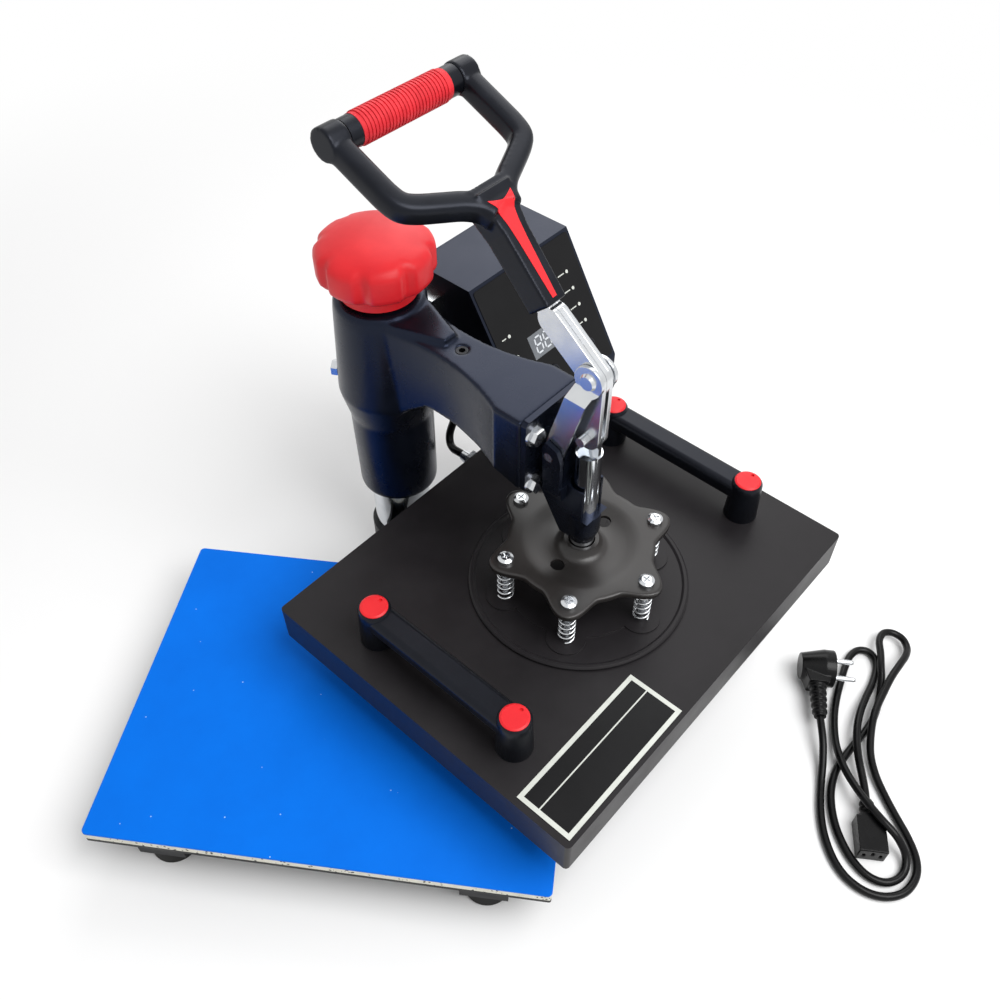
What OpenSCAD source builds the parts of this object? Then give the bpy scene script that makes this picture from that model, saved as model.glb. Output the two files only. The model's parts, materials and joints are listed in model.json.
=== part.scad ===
// Swing-away heat press: pad on a low frame, column, swinging cast arm with a toggle, sprung hot platen.
// The origin is the centre of the pad's top face, +Y runs back to the column and +Z is up.

/* [Pad] */
// Width of the pressing pad, left to right
pad_w = 380; // [340:2:420]
// Depth of the pressing pad, front to back
pad_d = 296; // [270:2:310]
// Corner radius of the pad
pad_corner = 4; // [2:1:12]
// Thickness of the silicone sheet
silicone_t = 3; // [2:0.5:5]
// Thickness of the foam sheet under the silicone
foam_t = 8; // [6:0.5:10]
// How far the foam sits back from the silicone's edge
foam_inset = 0.5; // [0:0.5:3]
// Thickness of the steel plate under the foam
plate_t = 4; // [3:0.5:6]

/* [Base] */
// Height of the pad's top above the table
pad_height = 64; // [60:1:80]
// Width of each base runner
runner_w = 40; // [30:1:50]
// Height of each base runner
runner_h = 30; // [24:1:34]
// Wall of the runners
runner_wall = 2.5; // [2:0.25:4]
// Distance of each runner from the middle
runner_x = 135; // [110:1:150]
// Thickness of the rear plate that carries the column
rear_plate_t = 8; // [6:1:12]
// Diameter of the rubber feet
foot_d = 42; // [30:1:50]
// Outer diameter of the column tube
column_d = 56; // [50:1:60]
// Wall of the column tube
column_wall = 4; // [3:0.5:6]
// Height of the column's top end above the pad
column_top = 205; // [190:1:215]
// Wall of the socket round the column's foot
socket_wall = 4; // [3:0.5:6]
// How far the socket's rim lies below the pad's top
socket_drop = 6; // [0:1:12]

/* [Arm] */
// Distance from the column to the plunger
arm_reach = 223; // [215:1:240]
// Angle by which the arm is swung out at rest
arm_swing = 56; // [0:1:80]
// Height of the hub's top above the pad
hub_top = 274; // [268:1:290]
// Diameter of the hub at its top
hub_top_d = 78; // [70:1:84]
// Diameter of the hub at its widest
hub_d = 90; // [84:1:100]
// Diameter of the sleeve under the hub
sleeve_d = 74; // [68:1:80]
// Height of the sleeve's lower end above the pad
sleeve_bottom = 56; // [50:1:90]
// Height of the beam's top above the pad
beam_top = 264; // [255:1:266]
// Height of the beam's front end
beam_h = 72; // [66:1:78]
// Width of the beam's front end
beam_w = 69; // [64:1:80]
// Width of the beam at its waist
beam_waist = 36; // [30:1:44]
// Distance from the plunger to the beam's front face
beam_front = 40; // [39:0.5:44]

/* [Knob] */
// Diameter of the pressure knob
knob_d = 98; // [84:1:104]
// Number of finger hollows round the knob
knob_lobes = 8; // [6:1:12]
// Diameter of the pressure screw
screw_d = 16; // [12:1:20]
// How far the knob lifts or lowers the arm
lift_travel = 6; // [3:0.5:7]

/* [Toggle] */
// Stroke of the plunger
stroke = 36; // [30:1:38]
// Height of the plunger's pin above the pad with the press open
pin_z = 256; // [250:1:260]
// Distance between the plunger's pin and the link's pin on the lever
lever_limb = 56; // [50:1:60]
// Diameter of the plunger rod
rod_d = 21; // [18:1:22]
// Outer diameter of the guide tube
guide_d = 28; // [26:1:32]
// Height of the guide tube's rim above the pad
guide_rim = 172; // [168:1:176]
// Length of the guide tube
guide_len = 34; // [28:1:36]
// Thickness of each plate of the lever
lever_plate_t = 4; // [3:0.5:5]
// Thickness of the link plates
link_t = 3; // [2:0.5:3]

/* [Handle] */
// Spread of the handle's two arms, middle to middle
handle_w = 122; // [112:1:132]
// Length of the handle's shaft, from the lever to the fork
shaft_len = 94; // [84:1:100]
// Angle of the shaft above level at rest
shaft_tilt = 48; // [40:1:55]
// Angle of the fork above level at rest
fork_tilt = 24; // [15:1:30]
// Distance from the fork to the grip
grip_out = 86; // [78:1:92]
// Diameter of the rubber grip
grip_d = 24; // [22:1:27]
// Length of the rubber grip
grip_len = 84; // [76:1:90]

/* [Platen] */
// Width of the platen's cover
cover_w = 387; // [340:1:420]
// Depth of the platen's cover
cover_d = 315; // [280:1:330]
// Height of the cover's sides
cover_h = 37; // [30:1:44]
// How far the cover's middle lies behind the plunger
cover_back = 10.7; // [0:0.1:14]
// Sheet thickness of the cover
cover_wall = 1.5; // [1:0.1:2]
// Thickness of the heated plate
hot_plate_t = 12; // [8:1:16]
// How far the heated plate shows below the cover
hot_plate_show = 1.5; // [0.5:0.5:4]
// Diameter of the round disc on the cover
disc_d = 190; // [170:1:200]
// Thickness of the disc
disc_t = 4; // [3:0.5:6]
// Radius of the ring of spring screws
spring_ring = 66.3; // [60:0.1:70]
// Height of the springs
spring_h = 41; // [36:0.5:46]
// Thickness of the six-armed plate
spider_t = 6; // [5:0.5:8]
// Distance from the middle to each lifting handle
lift_x = 157; // [140:1:165]
// Distance between the two posts of a lifting handle
lift_span = 149; // [120:1:170]
// Height of the lifting handles
lift_h = 42; // [36:1:50]

/* [Control box] */
// Width of the control box
box_w = 128; // [124:1:150]
// Height of the control box
box_h = 123; // [115:1:130]
// Depth of the control box at its top
box_top_d = 62; // [54:1:70]
// Depth of the control box at its foot
box_foot_d = 128; // [120:1:130]
// Height of the upright strip under the sloping panel
box_lip = 13; // [10:1:20]
// Distance from the column to the box's near side
box_x = 52; // [50:1:60]
// Diameter of the round keys
key_d = 13; // [10:1:15]
// Travel of the keys
key_travel = 1; // [0.6:0.1:1.5]

/* [Fits] */
// Gap between a sliding or turning piece and its bore
run_gap = 0.05; // [0.02:0.01:0.1]
// Gap between pieces that only lie near each other
seat_gap = 0.3; // [0.2:0.05:0.5]

/* [Hidden] */
$fn = 64;
BLACK = [0.09, 0.09, 0.1];
STEEL = [0.76, 0.77, 0.78];
RED = [0.82, 0.1, 0.12];

// Heights worked out from the pad downwards
foam_top = -silicone_t;
plate_top = foam_top - foam_t;
runner_top = plate_top - plate_t;
runner_bottom = runner_top - runner_h;
table_z = -pad_height;
foot_h = runner_bottom - table_z;
runner_front = -pad_d / 2 + 8;
runner_back = pad_d / 2 - 12;
foot_front_y = runner_front + foot_d / 2;
foot_back_y = runner_back - foot_d / 2;
foot_rear_y = arm_reach + 8;
column_foot = runner_bottom + rear_plate_t;

// Heights worked out from the platen upwards
hot_plate_bottom = stroke + lift_travel + 0.5;
cover_bottom = hot_plate_bottom + hot_plate_show;
cover_top = cover_bottom + cover_h;
disc_top = cover_top + disc_t;
spider_bottom = disc_top + spring_h;
spider_top = spider_bottom + spider_t;
rod_top = pin_z - 19;

// Toggle: the lever turns on the plunger's pin, the links turn on a pin in the bracket
pin_d = 8;
link_pin_y = 22;
link_pin_z = 232;
lever_pin_z = pin_z + lever_limb;
link_r = 9;
lever_r = 11;
link_len = norm([link_pin_y, lever_pin_z - link_pin_z]);
link_lean = atan2(link_pin_y, lever_pin_z - link_pin_z);
cheek_gap = 1.5 * lever_plate_t + seat_gap;
link_in = 14.5;
handle_root = 38;

// Control box profile, from the column
box_top = hub_top - 4;
box_back_y = arm_reach + 10;
box_front_top = box_back_y - box_top_d;
box_front = box_back_y - box_foot_d;
box_bottom = box_top - box_h;
panel_run = box_front_top - box_front;
panel_drop = box_h - box_lip;
panel_len = norm([panel_run, panel_drop]);
panel_tilt = atan2(panel_drop, panel_run);
box_wall = 1.5;
box_mid = box_x + box_w / 2;

// Turns a shape that is drawn with the arm closed to the arm's rest angle
module swung() translate([0, arm_reach, 0]) rotate(arm_swing) translate([0, -arm_reach, 0]) children();

// Copies a shape at the four corners of a rectangle
module corners(x, y0, y1) for (sx = [-1, 1], y = [y0, y1]) translate([sx * x, y, 0]) children();

// Turns an outline drawn in Y and Z into a slab that runs along X, centred
module slab_x(w) rotate([90, 0, 90]) linear_extrude(w, center = true) children();

// Turns an outline drawn in X and Z into a slab that runs back along Y from 0
module slab_y(w) rotate([90, 0, 0]) mirror([0, 0, 1]) linear_extrude(w) children();

// Flat strip with round ends between two points, a hair narrower than its ends
module strip(a, b, r) {
  v = b - a;
  side = r - 0.04;
  translate(a) circle(r);
  translate(b) circle(r);
  translate(a) rotate(atan2(v[1], v[0])) translate([0, -side]) square([norm(v), 2 * side]);
}

// Rectangle with round corners, centred
module round_rect(w, d, r) {
  square([w - 2 * r, d], center = true);
  square([w, d - 2 * r], center = true);
  for (sx = [-1, 1], sy = [-1, 1]) translate([sx * (w / 2 - r), sy * (d / 2 - r)]) circle(r);
}

// Hex bolt or nut that points up, with its seat at 0
module hex_head(af, h) cylinder(d = af / cos(30), h = h, $fn = 6);

// Base

module runner(s) translate([s * runner_x - runner_w / 2, runner_front, runner_bottom]) difference() {
  cube([runner_w, runner_back - runner_front, runner_h]);
  translate([runner_wall, runner_wall, runner_wall])
    cube([runner_w - 2 * runner_wall, runner_back - runner_front - 2 * runner_wall,
      runner_h - 2 * runner_wall]);
}

// Copies a shape at the five feet: four under the runners, one under the column
module foot_spots() {
  corners(runner_x, foot_front_y, foot_back_y) children();
  translate([0, foot_rear_y, 0]) children();
}

foot_screw_d = 6;
plate_bolt_d = 6;
plate_bolt_x = runner_x;
plate_bolt_y = pad_d / 2 - 40;
cross_in = runner_x - runner_w / 2;
cross_w = 36;

module runners() color(BLACK) difference() {
  for (s = [-1, 1]) runner(s);
  corners(runner_x, foot_front_y, foot_back_y) translate([0, 0, runner_bottom - 1])
    cylinder(d = foot_screw_d + 2 * run_gap, h = runner_wall + 2);
  corners(plate_bolt_x, -plate_bolt_y, plate_bolt_y) translate([0, 0, runner_top - runner_wall - 1])
    cylinder(d = plate_bolt_d + 2 * run_gap, h = runner_wall + 2);
}

module crossbars() color(BLACK) for (y = [-plate_bolt_y - cross_w / 2, runner_back - cross_w])
  translate([-cross_in, y, runner_bottom]) cube([2 * cross_in, cross_w, runner_h]);

// Narrow plate behind the rear crossbar, with an upright rib on either side
module rear_plate() color(BLACK) difference() {
  union() {
    translate([0, 0, runner_bottom]) linear_extrude(rear_plate_t) {
      translate([-socket_r, runner_back]) square([2 * socket_r, arm_reach - runner_back]);
      translate([0, arm_reach]) circle(socket_r);
    }
    for (x = [-socket_r, socket_r - gusset_t]) translate([x, runner_back, runner_bottom])
      cube([gusset_t, arm_reach - socket_r - runner_back - 2, runner_h]);
  }
  translate([0, foot_rear_y, runner_bottom - 1])
    cylinder(d = foot_screw_d + 2 * run_gap, h = rear_plate_t + 2);
}

socket_r = column_d / 2 + socket_wall;
gusset_t = 6;
gusset_w = 34;

module column_socket() color(BLACK) translate([0, arm_reach, 0]) difference() {
  union() {
    translate([0, 0, column_foot]) cylinder(r = socket_r, h = -socket_drop - column_foot);
    rotate(270) front_gusset();
  }
  translate([0, 0, column_foot - 1]) cylinder(d = column_d + 2 * run_gap, h = pad_height);
}

module front_gusset() translate([0, gusset_t / 2, 0]) rotate([90, 0, 0]) linear_extrude(gusset_t)
  polygon([[socket_r - 2, column_foot], [socket_r + gusset_w, column_foot],
    [socket_r + gusset_w, column_foot + 4], [socket_r - 2, -socket_drop - 3]]);

module column_tube() color(STEEL) translate([0, arm_reach, column_foot]) difference() {
  cylinder(d = column_d, h = column_top - column_foot);
  translate([0, 0, -1]) cylinder(d = column_d - 2 * column_wall, h = column_top - column_foot + 2);
}

column_nut_h = 30;

module column_nut() color(STEEL) translate([0, arm_reach, column_top - column_nut_h]) difference() {
  cylinder(d = column_d - 2 * column_wall - 2 * run_gap, h = column_nut_h);
  translate([0, 0, -1]) cylinder(d = screw_d + 2 * run_gap, h = column_nut_h + 2);
}

module rubber_feet() color(BLACK) foot_spots()
  translate([0, 0, table_z]) rotate_extrude() polygon([
    [foot_screw_d / 2 + seat_gap, 8], [foot_screw_d + 1, 8], [foot_screw_d + 1, 0], [foot_d / 2 - 2, 0],
    [foot_d / 2, 3], [foot_d / 2 - 3, foot_h], [foot_screw_d / 2 + seat_gap, foot_h]]);

module foot_screws() color(STEEL) foot_spots() translate([0, 0, table_z]) {
  translate([0, 0, 8 - 3.5]) cylinder(d = 2 * foot_screw_d, h = 3.5);
  translate([0, 0, 8]) cylinder(d = foot_screw_d, h = foot_h - 8 + runner_wall + 5);
}

module lower_plate() color(BLACK) translate([0, 0, runner_top]) difference() {
  linear_extrude(plate_t) round_rect(pad_w - 2 * foam_inset, pad_d - 2 * foam_inset, pad_corner / 2);
  corners(plate_bolt_x, -plate_bolt_y, plate_bolt_y) {
    translate([0, 0, -1]) cylinder(d = plate_bolt_d + 2 * run_gap, h = plate_t + 2);
    translate([0, 0, plate_t - 2.5]) cylinder(d = 2 * plate_bolt_d + 2 * run_gap, h = 3);
  }
}

module foam_sheet() color([0.82, 0.83, 0.82]) translate([0, 0, plate_top])
  linear_extrude(foam_t) round_rect(pad_w - 2 * foam_inset, pad_d - 2 * foam_inset, pad_corner / 2);

module silicone_pad() color([0.04, 0.42, 0.86]) translate([0, 0, foam_top])
  linear_extrude(silicone_t) round_rect(pad_w, pad_d, pad_corner);

module plate_bolts() color(STEEL) corners(plate_bolt_x, -plate_bolt_y, plate_bolt_y) {
  translate([0, 0, plate_top - 2.5]) cylinder(d = 2 * plate_bolt_d, h = 2.5);
  translate([0, 0, plate_top - 22]) cylinder(d = plate_bolt_d, h = 22);
}

// Pressure screw and knob

washer_t = 3;
knob_neck_h = 14;
knob_rim_h = 30;
knob_dome_h = 14;
knob_bottom = hub_top + washer_t;

module thrust_washer() color(STEEL) translate([0, arm_reach, hub_top + run_gap]) difference() {
  cylinder(d = 2.6 * screw_d, h = washer_t - seat_gap - run_gap);
  translate([0, 0, -1]) cylinder(d = screw_d + 2 * run_gap, h = washer_t + 2);
}

module knob_outline() difference() {
  circle(d = knob_d, $fn = 96);
  for (i = [0:knob_lobes - 1]) rotate((i + 0.5) * 360 / knob_lobes) translate([knob_d / 2 + 7, 0])
    circle(11);
}

module pressure_knob() color(RED) translate([0, arm_reach, knob_bottom]) difference() {
  union() {
    cylinder(d = hub_top_d - 12, h = knob_neck_h + 1);
    translate([0, 0, knob_neck_h]) intersection() {
      linear_extrude(knob_rim_h + knob_dome_h) knob_outline();
      rotate_extrude($fn = 96) polygon([
        [0, 0], [knob_d / 2 - 5, 0], [knob_d / 2, 5], [knob_d / 2, knob_rim_h - 7],
        [knob_d / 2 - 3, knob_rim_h - 2], [knob_d / 2 - 9, knob_rim_h + 2],
        [knob_d / 2 - 20, knob_rim_h + 9],
        [knob_d / 2 - 34, knob_rim_h + knob_dome_h - 1], [0, knob_rim_h + knob_dome_h]]);
    }
  }
  translate([0, 0, -1]) cylinder(d = screw_d + 2 * run_gap, h = knob_neck_h + 11);
}

screw_len = 130;

module pressure_screw() color(STEEL) translate([0, arm_reach, knob_bottom + knob_neck_h + 9.5 - screw_len])
  cylinder(d = screw_d, h = screw_len);

// Cast arm

hub_ceiling = 16;
hub_shoulder = hub_top - 96;
hub_step = hub_top - 126;
side_curve_y = 140;
side_curve_r = 174;

module beam_outline() difference() {
  translate([-beam_w / 2, beam_front]) square([beam_w, arm_reach - beam_front]);
  for (s = [-1, 1]) translate([s * (beam_waist / 2 + side_curve_r), side_curve_y])
    circle(side_curve_r, $fn = 128);
}

module beam_side() polygon([
  [beam_front, beam_top], [arm_reach, beam_top], [arm_reach, hub_step], [arm_reach - 40, hub_shoulder],
  [arm_reach - 66, beam_top - beam_h + 6], [beam_front + 24, beam_top - beam_h + 6],
  [beam_front, beam_top - beam_h]]);

rib_h = 6;
set_screw_y = 130;
set_screw_d = 10;
hub_bolt_z = 184;
hub_bolt_d = 8;
hub_bolt_angle = 120;
bolt_x = 24;
bolt_z_top = 250;
bolt_z_low = 198;
bolt_d = 8;

module bolt_spots() for (s = [-1, 1], z = [bolt_z_low, bolt_z_top]) translate([s * bolt_x, 0, z]) children();

module cast_arm() color(BLACK) swung() difference() {
  union() {
    translate([0, arm_reach, 0]) rotate_extrude($fn = 96) polygon([
      [0, sleeve_bottom], [sleeve_d / 2 - 2, sleeve_bottom], [sleeve_d / 2, sleeve_bottom + 3],
      [sleeve_d / 2 + 1, hub_step], [hub_d / 2, hub_shoulder], [hub_top_d / 2 + 1, hub_top - 12],
      [hub_top_d / 2, hub_top - 3], [hub_top_d / 2 - 3, hub_top], [0, hub_top]]);
    intersection() {
      linear_extrude(beam_top) beam_outline();
      slab_x(beam_w + 20) beam_side();
    }
    translate([0, 0, beam_top - 1]) linear_extrude(rib_h + 1)
      polygon([[-25, arm_reach - 30], [25, arm_reach - 30], [7, set_screw_y + 12], [-7, set_screw_y + 12]]);
  }
  translate([0, arm_reach, sleeve_bottom - 1])
    cylinder(d = column_d + 2 * run_gap, h = hub_top - hub_ceiling - sleeve_bottom + 1, $fn = 96);
  translate([0, arm_reach, hub_top - hub_ceiling - 1])
    cylinder(d = screw_d + 2 * run_gap, h = hub_ceiling + 2);
  translate([0, set_screw_y, beam_top - 12]) cylinder(d = set_screw_d + 2 * run_gap, h = 30);
  bolt_spots() translate([0, beam_front - 1, 0]) rotate([-90, 0, 0])
    cylinder(d = bolt_d + 2 * run_gap, h = 21);
  hub_bolt_place() translate([0, 0, -11]) cylinder(d = hub_bolt_d + 2 * run_gap, h = 20);
  box_bracket_holes();
}

module arm_set_screw() color([0.2, 0.2, 0.21]) swung() translate([0, set_screw_y, beam_top - 12])
  difference() {
  cylinder(d = set_screw_d, h = 11);
  translate([0, 0, 6]) cylinder(d = 0.6 * set_screw_d, h = 6, $fn = 6);
}

module hub_bolt_place() translate([0, arm_reach, hub_bolt_z]) rotate(hub_bolt_angle) rotate([0, 90, 0])
  translate([0, 0, hub_d / 2]) children();

module hub_bolt() color(STEEL) swung() hub_bolt_place() {
  translate([0, 0, 0.5]) hex_head(13, 6);
  translate([0, 0, -10]) cylinder(d = hub_bolt_d, h = 12);
}

// Toggle bracket with guide tube, and what turns in it

flange_t = 5;
flange_y = beam_front - flange_t;
block_x = 13;
fork_in = link_in + link_t + seat_gap + 0.2;
fork_t = 4;
fork_top = 266;
fork_low = 204;
fork_front = -11;
lug_front = 10;

module bracket_side() polygon([
  [flange_y + 1, 247], [13, 247], [13, fork_low], [fork_front, fork_low], [-13, 188], [-13, guide_rim],
  [4, guide_rim - guide_len + 8], [14, guide_rim - guide_len + 8], [flange_y + 1, 184]]);

module bracket_front() polygon([
  [-fork_in - fork_t, fork_top + 14], [-fork_in - fork_t, fork_low + 4],
  [-guide_d / 2 + 2, guide_rim - guide_len],
  [guide_d / 2 - 2, guide_rim - guide_len], [fork_in + fork_t, fork_low + 4],
  [fork_in + fork_t, fork_top + 14]]);

module toggle_bracket() color(BLACK) swung() difference() {
  union() {
    translate([0, flange_y, 0]) slab_y(flange_t)
      translate([0, beam_top - beam_h / 2]) round_rect(beam_w - 3, beam_h + 2, 4);
    intersection() {
      slab_x(2 * block_x) bracket_side();
      translate([0, -40, 0]) slab_y(90) bracket_front();
    }
    for (s = [-1, 1]) translate([s * (fork_in + fork_t / 2), 0, 0]) slab_x(fork_t) polygon([
      [26, fork_low - 8], [28, 238], [25, 246], [14, 242], [lug_front, 232], [lug_front, fork_low - 8]]);
    intersection() {
      translate([-fork_in - fork_t, lug_front - 1, fork_low - 14])
        cube([2 * (fork_in + fork_t), 27 - lug_front, 14]);
      translate([0, -40, 0]) slab_y(90) bracket_front();
    }
    translate([0, 0, guide_rim - guide_len]) cylinder(d1 = guide_d - 8, d2 = guide_d, h = 14);
    translate([0, 0, guide_rim - guide_len + 14]) cylinder(d = guide_d, h = guide_len - 14);
  }
  translate([0, 0, guide_rim - guide_len - 1]) cylinder(d = rod_d + 2 * run_gap, h = 120);
  translate([0, 0, guide_rim]) cylinder(d = rod_d + 4, h = 100);
  translate([-cheek_gap - 1.2, 2 * fork_front, fork_low - 5])
    cube([2 * cheek_gap + 2.4, -2 * fork_front, fork_top - fork_low]);
  translate([-guide_d, -40, guide_rim]) cube([2 * guide_d, 40 - rod_d / 2 + 4, fork_top - guide_rim]);
  bolt_spots() translate([0, flange_y - 1, 0]) rotate([-90, 0, 0])
    cylinder(d = bolt_d + 2 * run_gap, h = 10);
  translate([0, link_pin_y, link_pin_z]) rotate([0, 90, 0])
    cylinder(d = pin_d + 2 * run_gap, h = 80, center = true);
}

module bracket_bolts() color(STEEL) swung() bolt_spots() translate([0, flange_y, 0]) rotate([90, 0, 0]) {
  cylinder(d = 19, h = 2);
  hex_head(13, 7);
  translate([0, 0, -flange_t - 18]) cylinder(d = bolt_d, h = flange_t + 18);
}

module link_pivot_pin() color(STEEL) swung() translate([0, link_pin_y, link_pin_z]) rotate([0, 90, 0])
  cylinder(d = pin_d, h = 2 * (fork_in + fork_t), center = true);

// Outline of a link from above: wide at its foot, stepped in to the lever at its top
module link_step(s) mirror([s < 0 ? 1 : 0, 0]) polygon([
  [link_in, 200], [link_in + link_t, 200], [link_in + link_t, lever_pin_z - 16],
  [cheek_gap + link_t, lever_pin_z - 7], [cheek_gap + link_t, lever_pin_z + 28],
  [cheek_gap, lever_pin_z + 28],
  [cheek_gap, lever_pin_z - 8], [link_in, lever_pin_z - 17]]);

module toggle_links() color(STEEL) swung() for (s = [-1, 1]) difference() {
  intersection() {
    slab_x(60) {
      strip([link_pin_y, link_pin_z], [0, lever_pin_z], link_r);
      translate([0, lever_pin_z]) circle(lever_r + 1.5);
    }
    translate([0, -40, 0]) slab_y(90) link_step(s);
  }
  translate([0, link_pin_y, link_pin_z]) rotate([0, 90, 0])
    cylinder(d = pin_d + 2 * run_gap, h = 80, center = true);
  translate([0, 0, lever_pin_z]) rotate([0, 90, 0]) cylinder(d = pin_d + 2 * run_gap, h = 80, center = true);
}

module link_rivet() color(STEEL) swung() for (s = [-1, 1]) translate([s * cheek_gap, 0, lever_pin_z])
  rotate([0, s * 90, 0]) {
    cylinder(d = pin_d, h = link_t);
    translate([0, 0, link_t]) cylinder(d1 = 14, d2 = 11, h = 2.5);
  }

lever_end = [38.7, 342.2];
lever_tip = lever_end + handle_root * [cos(shaft_tilt), sin(shaft_tilt)];

lever_tip_r = lever_r - 4;

module lever_outline(low) {
  strip([0, low], [0, lever_pin_z], lever_r);
  strip([0, lever_pin_z], lever_end, lever_r);
  strip(lever_end, lever_tip, lever_tip_r);
}

module lever_plates() color(STEEL) swung() for (s = [-1, 1]) difference() {
  translate([s * lever_plate_t, 0, 0]) slab_x(lever_plate_t) lever_outline(pin_z);
  translate([0, 0, pin_z]) rotate([0, 90, 0]) cylinder(d = pin_d + 2 * run_gap, h = 40, center = true);
}

module lever_core() color(STEEL) swung() slab_x(lever_plate_t) difference() {
  lever_outline(lever_pin_z - 6);
  translate([-40, pin_z - 30]) square([80, 30 + 18]);
}

// Handle: a shaft on the lever, a fork, and a grip between its two bosses

fork_at = lever_end + shaft_len * [cos(shaft_tilt), sin(shaft_tilt)];
shaft_w = 20;
shaft_d = 22;
shaft_start = lever_r + 1;
arm_r = 8;
arm_d = 18;
elbow_u = 27;
boss_r = 12;

// Places a shape in the shaft's plane: X across, Y along the shaft, Z towards its front face
module on_shaft() translate([0, lever_end[0], lever_end[1]]) rotate([shaft_tilt, 0, 0]) children();

// Places a shape in the fork's plane, with the fork's middle at the origin
module on_fork() translate([0, fork_at[0], fork_at[1]]) rotate([fork_tilt, 0, 0]) children();

module handle_frame() color(BLACK) swung() difference() {
  union() {
    on_shaft() translate([0, 0, -shaft_d / 2]) linear_extrude(shaft_d)
      polygon([[-shaft_w / 2, shaft_start], [shaft_w / 2, shaft_start], [shaft_w / 2 + 1, shaft_len - 22],
        [shaft_w / 2 + 6, shaft_len + 5], [-shaft_w / 2 - 6, shaft_len + 5],
        [-shaft_w / 2 - 1, shaft_len - 22]]);
    on_fork() translate([0, 0, -arm_d / 2]) linear_extrude(arm_d) {
      polygon([[-shaft_w / 2, -9], [shaft_w / 2, -9], [shaft_w / 2 + 8, 9], [-shaft_w / 2 - 8, 9]]);
      for (s = [-1, 1]) {
        strip([s * 10, 3], [s * handle_w / 2, elbow_u], arm_r);
        strip([s * handle_w / 2, elbow_u], [s * handle_w / 2, grip_out], arm_r - 0.5);
      }
    }
    for (s = [-1, 1]) on_fork() translate([s * handle_w / 2, grip_out, 0]) rotate([0, 90, 0])
      cylinder(r = boss_r, h = 2 * arm_r + 1, center = true);
  }
  slab_x(3 * lever_plate_t + 2 * run_gap) {
    strip([0, lever_pin_z], lever_end, lever_r + 0.1);
    strip(lever_end, lever_tip, lever_tip_r + 0.1);
  }
  on_shaft() stripe_shape(1.2, 2 * run_gap);
  on_fork() translate([0, grip_out, 0]) rotate([0, 90, 0])
    cylinder(r = tube_r + run_gap, h = handle_w, center = true);
}

tube_r = 8;
collar_len = (handle_w - grip_len) / 2 - arm_r - 0.5 - 0.4;

// Red line along the front face of the shaft, with two short horns at the fork
module stripe_shape(depth, extra) translate([0, 0, shaft_d / 2 - depth]) linear_extrude(depth + 0.2 + extra)
  stripe_outline(extra / 2);

module stripe_outline(e) {
  polygon([[-2 - e, shaft_start + 4 - e], [2 + e, shaft_start + 4 - e], [5 + e, shaft_len - 22],
    [-5 - e, shaft_len - 22]]);
  for (s = [-1, 1]) strip([s * 3, shaft_len - 23], [s * 8, shaft_len - 12], 2.5 + e);
}

module handle_stripe() color(RED) swung() on_shaft() stripe_shape(1.2, 0);

module grip_tube() color(BLACK) swung() on_fork() translate([0, grip_out, 0]) rotate([0, 90, 0]) union() {
  cylinder(r = tube_r, h = handle_w - 2 * run_gap, center = true);
  for (s = [-1, 1]) translate([0, 0, s * (grip_len / 2 + collar_len / 2)])
    cylinder(d = grip_d - 2, h = collar_len, center = true);
}

module grip_sleeve() color(RED) swung() on_fork() translate([0, grip_out, 0]) rotate([0, 90, 0])
  difference() {
  union() {
    cylinder(d = grip_d - 1.5, h = grip_len, center = true);
    for (i = [-12:12]) translate([0, 0, i * grip_len / 27]) cylinder(d = grip_d, h = 2, center = true);
  }
  cylinder(r = tube_r + run_gap, h = grip_len + 2, center = true);
}

// Plunger and six-armed plate

tang_t = lever_plate_t - 0.2;
rod_nut_h = 13;
rod_nut_af = 30;

module plunger_rod() color(STEEL) swung() difference() {
  union() {
    translate([0, 0, spider_bottom - rod_nut_h - 3])
      cylinder(d = rod_d, h = rod_top - spider_bottom + rod_nut_h + 3);
    slab_x(tang_t) strip([0, rod_top - 6], [0, pin_z], rod_d / 2 - 1);
  }
  translate([0, 0, pin_z]) rotate([0, 90, 0]) cylinder(d = pin_d + 2 * run_gap, h = 40, center = true);
}

module plunger_pin() color(STEEL) swung() translate([0, 0, pin_z]) rotate([0, 90, 0])
  cylinder(d = pin_d, h = 2 * link_in - 2, center = true);

module arms6() for (i = [0:5]) rotate(30 + 60 * i) children();

spider_hole_d = 12;
spider_lobe = 13.5;

module spider_outline() difference() {
  union() {
    circle(spring_ring - 6, $fn = 96);
    arms6() translate([spring_ring, 0]) circle(spider_lobe);
    arms6() translate([0, -spider_lobe]) square([spring_ring, 2 * spider_lobe]);
  }
  arms6() rotate(30) translate([spring_ring + 12, 0]) circle(26);
}

module spider_plate() color(BLACK) swung() difference() {
  union() {
    translate([0, 0, spider_bottom]) linear_extrude(spider_t) spider_outline();
    translate([0, 0, spider_top - 1]) cylinder(d1 = rod_d + 14, d2 = rod_d + 8, h = 4.5);
  }
  translate([0, 0, spider_top]) rotate_extrude() polygon([[rod_d / 2 + 7, 0], [rod_d / 2 + 9, -2.4],
    [34, -2.4], [42, 0], [42, 1], [rod_d / 2 + 7, 1]]);
  translate([0, 0, spider_bottom - 1]) cylinder(d = rod_d + 2 * run_gap, h = spider_t + 10);
  for (s = [-1, 1]) translate([s * 31, 0, spider_bottom - 1]) cylinder(d = spider_hole_d, h = spider_t + 2);
  arms6() translate([spring_ring, 0, spider_bottom - 1])
    cylinder(d = spring_screw_d + 0.6, h = spider_t + 2);
}

module rod_nut() color(STEEL) swung() translate([0, 0, spider_bottom - rod_nut_h]) difference() {
  hex_head(rod_nut_af, rod_nut_h);
  translate([0, 0, -1]) cylinder(d = rod_d + 2 * run_gap, h = rod_nut_h + 2);
}

// Platen

module cover_plan(w, d, r) translate([0, cover_back]) round_rect(w, d, r);

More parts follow.
